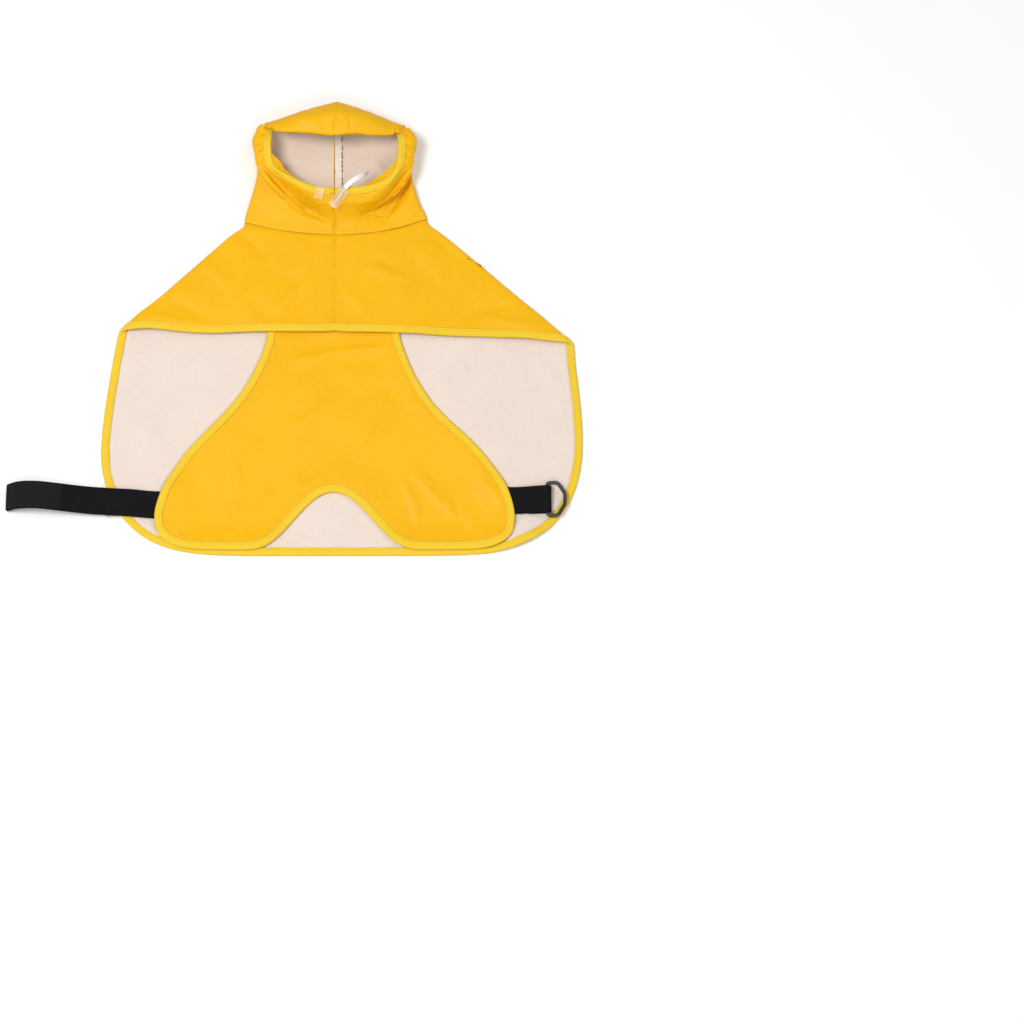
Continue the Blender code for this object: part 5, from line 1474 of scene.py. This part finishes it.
# ---- hood ---------------------------------------------------------------------------------------
class RAINCOAT_OT_hood(bpy.types.Operator):
    """Shapes both halves of the hood, the tape round its opening and the seam allowance inside"""
    bl_idname = "raincoat.hood"
    bl_label = "Hood"

    def execute(self, context):
        halves = [self.shape_half("hood_cloth_left", "hood_left", -1),
                  self.shape_half("hood_cloth_right", "hood_right", 1)]
        left, right = (stations(half, edge_path(half, *opening_ends(side)))
                       for half, side in zip(halves, (-1, 1)))
        tape = edge_tape("hood_tape", np.vstack((left, right[::-1])), halves, True, 3.0,
                         "hood_binding")
        rim = surface_tree([tape])
        for half in halves:
            turn_in(half, lambda spot: rim.find_nearest(Vector(spot) * MM, 0.004)[0] is None)
        for half, node, side, tapes in zip(halves, ("hood_left", "hood_right"), (-1, 1),
                                           ([tape], [])):
            cut = flat_size(half)
            self.turn_hem(half, side)
            # The hood's inner side takes the warmer copy of the cloth back, which is painted bounce
            # light.
            give_wall(half, "coated_cloth", "hood_back", 0)
            coat_folds(half, lambda face: face.normal.z > 0.2 and face.center.z > 0.014
                       and face.center.y < 0.152)
            hand_over_sheet(half, cut, node, held="folded", rests_on=["floor"], with_pieces=tapes)
        strip = coated_face("seam_allowance_strip", "hood_seam_allowance", 0.8, True, 8.0, 2, 2)
        cut = flat_size(strip)
        self.fray(strip)
        give_wall(strip, "pressed_allowance", "pressed_allowance")
        hand_over_sheet(strip, cut, "hood_seam_allowance", "lining", held="laid",
                        rests_on=["hood_cloth_right"])
        return {"FINISHED"}

    def shape_half(self, name, node, side):
        """One half of the hood with its brim, ears and creases."""
        half = coated_face(name, node, 1.0, False, 15.0, sizes().fineness, 4, tuck_brim)
        spots, outs = read_points(half)
        facing = outs[:, 2]
        above = ease((facing - 0.05) / 0.4)
        below = ease((-facing - 0.2) / 0.4)
        throat = ease((152.0 - spots[:, 1]) / 12.0)
        centre = np.abs(spots[:, 0] - CENTRE_SEAM_X)
        fold = crease_heights(spots, THROAT_CREASES) * throat * above * sizes().creasing
        lift = crease_heights(spots, CROWN_CREASES) * (1.0 - throat) * above
        lift += crease_heights(spots, EAR_CREASES) * ease((spots[:, 2] - 12.0) / 6.0)
        lift += crease_heights(spots, HOOD_BACK_CREASES) * below
        lift += 0.45 * soft_noise(spots, 20.0, 21.0) + 0.18 * soft_noise(spots, 7.0, 22.0)
        pucker = np.sin(spots[:, 1] * 0.75 + 1.5 * soft_noise(spots, 16.0, 23.0))
        lift += 0.2 * pucker * np.exp(-(centre / 6.0) ** 2)
        low = spots[:, 2] < 1.2
        lift = np.where(low & (facing < 0), np.minimum(lift, 0.0), lift)
        lift *= sizes().creasing
        lift += seam_dip(centre, 0.6, 1.3) * (1.0 + above * ease((114.0 - spots[:, 1]) / 8.0))
        neck = np.exp(-((spots[:, 1] - 91.0 - (spots[:, 0] / 80.0) ** 2 * 13.0) / 2.5) ** 2)
        lift *= 1.0 - 0.7 * (neck * above)
        lift -= 0.6 * above * np.exp(-(distance_to(spots, self.neck_line(half)) / 1.6) ** 2)
        sunk = room(spots, np.maximum(-fold, 0.0), (0, 0, -1), (node, "body"), 1.0, 0.85)
        spots += outs * lift[:, None]
        spots[:, 2] += np.where(fold < 0.0, -sunk, fold)

        # The crown's peak, the lean of the crown and the pushed ears.
        spots[:, 1] += 3.0 * np.exp(-centre / 5.5) * ease((spots[:, 1] - 168.0) / 16.0)
        spots[:, 0] += (2.0 * np.exp(-(centre / 30.0) ** 2)
                        * ease((spots[:, 1] - 176.0) / 18.0))
        screen = spots[:, 1] + 0.325 * spots[:, 2]
        for dent_x, dent_y, push_x, push_y, size in EAR_PUSHES:
            near = np.exp(-((spots[:, 0] - dent_x) ** 2 + (screen - dent_y) ** 2) / size ** 2)
            spots[:, 0] += push_x * near
            spots[:, 1] += push_y * near
        spots[:, 2] = np.maximum(spots[:, 2], 0.05)
        write_points(half, spots)
        ease_folds(half, 0.2)
        # Mask that darkens the coating: a darker line along the centre seam, and painted shade in
        # the throat's fold valleys.
        paint(half, "wear_and_shade", np.exp(-(centre / 2.4) ** 2) * 0.9 + np.clip(-fold / 4.0, 0.0, 1.0))
        corner = np.linalg.norm(spots - np.array(BRIM_CORNERS[side]), axis=1)
        paint(half, "folded", ((corner < 13.0) | (fold < -1.0)).astype(float))
        return half

    @staticmethod
    def neck_line(half):
        """The sheet's cut edge where it meets the body."""
        spots, _ = read_points(half)
        edge = spots[cut_edge(half)]
        return edge[edge[:, 1] < 95.0 + 13.0 * (edge[:, 0] / 80.0) ** 2]

    @staticmethod
    def turn_hem(half, side):
        """Rolls the face opening's hem inwards under its tape, where the hood hangs open."""
        spots, _ = read_points(half)
        middle = Vector(HEM_ROLLS[side]) * MM
        path = set(edge_path(half, *opening_ends(side)))
        shape = bmesh.new()
        shape.from_mesh(half.data)
        edges = [edge for edge in shape.edges
                 if edge.is_boundary and all(vertex.index in path and spots[vertex.index][1] < 162.0
                                             for vertex in edge.verts)]
        for part, drop in ((0.35, 0.9), (0.65, 1.6)):
            made = bmesh.ops.extrude_edge_only(shape, edges=edges)
            fresh = {item for item in made["geom"] if isinstance(item, bmesh.types.BMVert)}
            edges = [item for item in made["geom"] if isinstance(item, bmesh.types.BMEdge)
                     and all(vertex in fresh for vertex in item.verts)]
            for vertex in fresh:
                off = (middle - vertex.co.xy).length / MM
                share = (np.exp(-(off / HEM_ROLL_SPREAD) ** 2)
                         * ease((0.161 - vertex.co.y) / 0.013))
                inwards = Vector((CENTRE_SEAM_X * MM - vertex.co.x, 0.152 - vertex.co.y,
                                  0.0)).normalized()
                vertex.co += (inwards * (HEM_ROLL_REACH * share * part * MM)
                              - UP * (drop * (0.3 + share) * MM))
        shape.to_mesh(half.data)
        shape.free()
        half.data.update()

    @staticmethod
    def fray(strip):
        """Waves the strip's raw edge and sews the dark seam thread along it."""
        spots, outs = read_points(strip)
        middle = spots[:, 0].mean()
        row = []
        for vertex in sorted(cut_edge(strip)):
            if spots[vertex][0] > middle:
                row.append((spots[vertex][1], vertex))
                spots[vertex][0] += 0.5 * noise.noise(Vector((spots[vertex][1] * 0.8, 2.0, 6.0)))
        write_points(strip, spots)
        row.sort()
        line = [spots[vertex] * MM + np.array((0.0002, 0.0, 0.0)) for _, vertex in row]
        ups = [np.where(outs[vertex][2] > 0, 1, -1) * outs[vertex] for _, vertex in row]
        places = []
        for count, (spot, step, out) in enumerate(stitch_row(line, ups, 0.0042)):
            if count % 7 != 3:
                away = 0.0005 * noise.noise(Vector((count * 0.9, 0.0, 8.0)))
                places.append((spot + np.array((away, away * 1.6, 0.0)), step, out))
        sew("allowance_stitches", places, "seam_thread", 0.0028, 0.0008)


# ---- leash flap ---------------------------------------------------------------------------------
class RAINCOAT_OT_flap(bpy.types.Operator):
    """Shapes the leash flap under the back of the neck and its edge tape"""
    bl_idname = "raincoat.flap"
    bl_label = "Leash flap"

    def execute(self, context):
        flap = coated_face("flap_cloth", "leash_flap", 1.0, False, 7.0, 1, 1)
        path = edge_path(flap, (-29.0, 104.5, 1.3), (-1.0, 36.3, 1.3), (27.0, 104.5, 1.3))
        tape = edge_tape("flap_tape", stations(flap, path), [flap], False, 4.0, "flap_binding")
        paint(flap, "wear_and_shade", np.zeros(len(flap.data.vertices)))
        cut = flat_size(flap)
        give_wall(flap, "coated_cloth", "cloth_back")
        hand_over_sheet(flap, cut, "leash_flap", held="laid", rests_on=["floor"],
                        with_pieces=[tape])
        return {"FINISHED"}


# ---- straps -------------------------------------------------------------------------------------
def strap_y(x):
    """Middle of the long strap across the coat: it slants a little."""
    return -162.9 + (x + 138.0) / -148.5 * (-155.5 + 162.9)


class Strap:
    """A strap that follows a line, wide across its own side, with its rows for stitches."""

    def __init__(self, name, line, width, thickness, seed, look, node):
        even, along, _ = spaced([tuple(point) for point in line], WEB_SPACING)
        self.width, self.thickness = width, thickness
        self.rows, self.middles, self.sides = [], [Vector(spot) for spot in even], []
        for place, spot, step in zip(along, even, unit(np.gradient(even, axis=0))):
            ahead = Vector(step)
            side = Vector((0.0, 1.0, 0.0)) - ahead * ahead.y
            side.normalize()
            out = side.cross(ahead)
            sway = 0.00022 * noise.noise(Vector((place * 55.0, seed, 0.0)))
            twist = 0.02 * noise.noise(Vector((place * 30.0, seed, 5.0)))
            self.rows.append([
                tuple(Vector(spot) + side * (across * width / 2 + sway)
                      + out * (rise * thickness / 2 + 0.00012 * (1.0 - across * across)
                               + across * twist * width / 8))
                for across, rise in WEB_SECTION])
            self.sides.append((out, side))
        strap = skin(name, self.rows, False, True, list(along),
                     girth(WEB_SECTION, width / 2, thickness / 2))
        complete(strap, look, 50.0, [node])

    def station_at(self, x, last=None):
        """The row nearest a place along X."""
        middles = self.middles[:last]
        return min(range(len(middles)), key=lambda place: abs(middles[place].x / MM - x))

    def outward(self, station):
        return 1.0 if self.sides[station][0].z > 0 else -1.0

    def across(self, station, sign):
        """A row of stitches across the strap, on the side that sign gives."""
        out, side = self.sides[station]
        one, two = (Vector(self.rows[station][corner]) for corner in WEB_MIDDLES)
        middle = (one + two) / 2
        places = []
        for column in range(8):
            share = -0.8 + 1.6 * column / 7
            spot = middle + side * (share * self.width / 2) + out * (sign * self.thickness / 2)
            places.append((spot + out * sign * 0.0001, side, out * sign))
        return places


class RAINCOAT_OT_straps(bpy.types.Operator):
    """Makes both webbing straps, the touch patch and their stitching"""
    bl_idname = "raincoat.straps"
    bl_label = "Straps"

    def execute(self, context):
        web = (sizes().web_width, sizes().web_thickness)
        line = curve_through([Vector((x, strap_y(x), z)) * MM for x, z in LONG_STRAP], 8)
        strap = Strap("long_webbing", line, *web, 1.0, "webbing_finish", "strap_long")
        places = []
        for x in LONG_STRAP_STITCHES:
            for sign in (-1.0, 1.0):
                places += strap.across(strap.station_at(x), sign)
        first = strap.station_at(PATCH_START)
        above = [strap.middles[place] + strap.sides[place][0] * strap.outward(place)
                 * (strap.thickness / 2 + PATCH_LIFT) for place in range(first, len(strap.rows))]
        patch = Strap("touch_patch", above, PATCH_WIDTH, PATCH_THICKNESS, 2.0, "patch_finish",
                      "strap_patch")
        sign = strap.outward(first)
        for station in (2, len(patch.rows) - 3):
            places += patch.across(station, sign)
        for across in (-0.88, 0.88):
            line = [tuple(middle + side * (across * PATCH_WIDTH / 2)
                          + out * sign * (PATCH_THICKNESS / 2))
                    for middle, (out, side) in zip(patch.middles[2:-2], patch.sides[2:-2])]
            places += stitch_row(line, [tuple(out * sign) for out, _ in patch.sides[2:-2]],
                                 sizes().stitch_pitch)
        sew("strap_stitches", places, "black_thread")

        bar = Vector(RING_BAR)
        line = [Vector((x, bar.y, z)) for x, z in SHORT_STRAP_TOP]
        for step in range(9):
            angle = radians(105.0 - 210.0 * step / 8)
            line.append(bar + Vector((cos(angle), 0.0, sin(angle))) * STRAP_LOOP)
        line += [Vector((x, bar.y, z)) for x, z in SHORT_STRAP_UNDER]
        line = curve_through([point * MM for point in line], 6)
        strap = Strap("short_webbing", line, *web, 3.0, "webbing_finish", "strap_short")
        places = []
        for x in SHORT_STRAP_STITCHES:
            station = strap.station_at(x, len(strap.middles) // 2)
            places += strap.across(station, strap.outward(station))
        sew("short_strap_stitches", places, "black_thread")
        return {"FINISHED"}


# ---- ring ---------------------------------------------------------------------------------------
class RAINCOAT_OT_ring(bpy.types.Operator):
    """Rounds the moulded ring buckle"""
    bl_idname = "raincoat.ring"
    bl_label = "Ring buckle"

    def execute(self, context):
        ring = copy_of_solid("ring_moulding", "ring_buckle")
        bpy.ops.mesh.tris_convert_to_quads(face_threshold=radians(40), shape_threshold=radians(60))
        apply_modifier(ring, "SUBSURF", levels=2, render_levels=2)
        complete(ring, "ring_finish", 60.0, ["ring_buckle"], "ring")
        return {"FINISHED"}


class RAINCOAT_PT_panel(bpy.types.Panel):
    """Lists the pieces of the coat with its sizes and colours"""
    bl_idname = "RAINCOAT_PT_panel"
    bl_label = "Dog Raincoat"
    bl_space_type = "VIEW_3D"
    bl_region_type = "UI"
    bl_category = "Raincoat"

    def draw(self, context):
        layout = self.layout
        for settings in (context.scene.raincoat_sizes, context.scene.raincoat_colours):
            box = layout.box()
            for setting in settings.bl_rna.properties:
                if setting.identifier not in ("rna_type", "name"):
                    box.prop(settings, setting.identifier)
        column = layout.column(align=True)
        for operator in PIECES:
            column.operator(operator.bl_idname)


PIECES = (RAINCOAT_OT_stage, RAINCOAT_OT_drawcord, RAINCOAT_OT_body, RAINCOAT_OT_belly,
          RAINCOAT_OT_hood, RAINCOAT_OT_flap, RAINCOAT_OT_straps, RAINCOAT_OT_ring)
CLASSES = (RaincoatSizes, RaincoatColours) + PIECES + (RAINCOAT_PT_panel,)


def register():
    for kind in CLASSES:
        bpy.utils.register_class(kind)
    bpy.types.Scene.raincoat_sizes = PointerProperty(type=RaincoatSizes)
    bpy.types.Scene.raincoat_colours = PointerProperty(type=RaincoatColours)


def unregister():
    del bpy.types.Scene.raincoat_colours
    del bpy.types.Scene.raincoat_sizes
    for kind in reversed(CLASSES):
        bpy.utils.unregister_class(kind)


def main():
    register()
    bpy.ops.raincoat.stage()
    bpy.ops.raincoat.drawcord()
    bpy.ops.raincoat.body()
    bpy.ops.raincoat.belly()
    bpy.ops.raincoat.hood()
    bpy.ops.raincoat.flap()
    bpy.ops.raincoat.straps()
    bpy.ops.raincoat.ring()
    let_go()


if __name__ == "__main__":
    main()
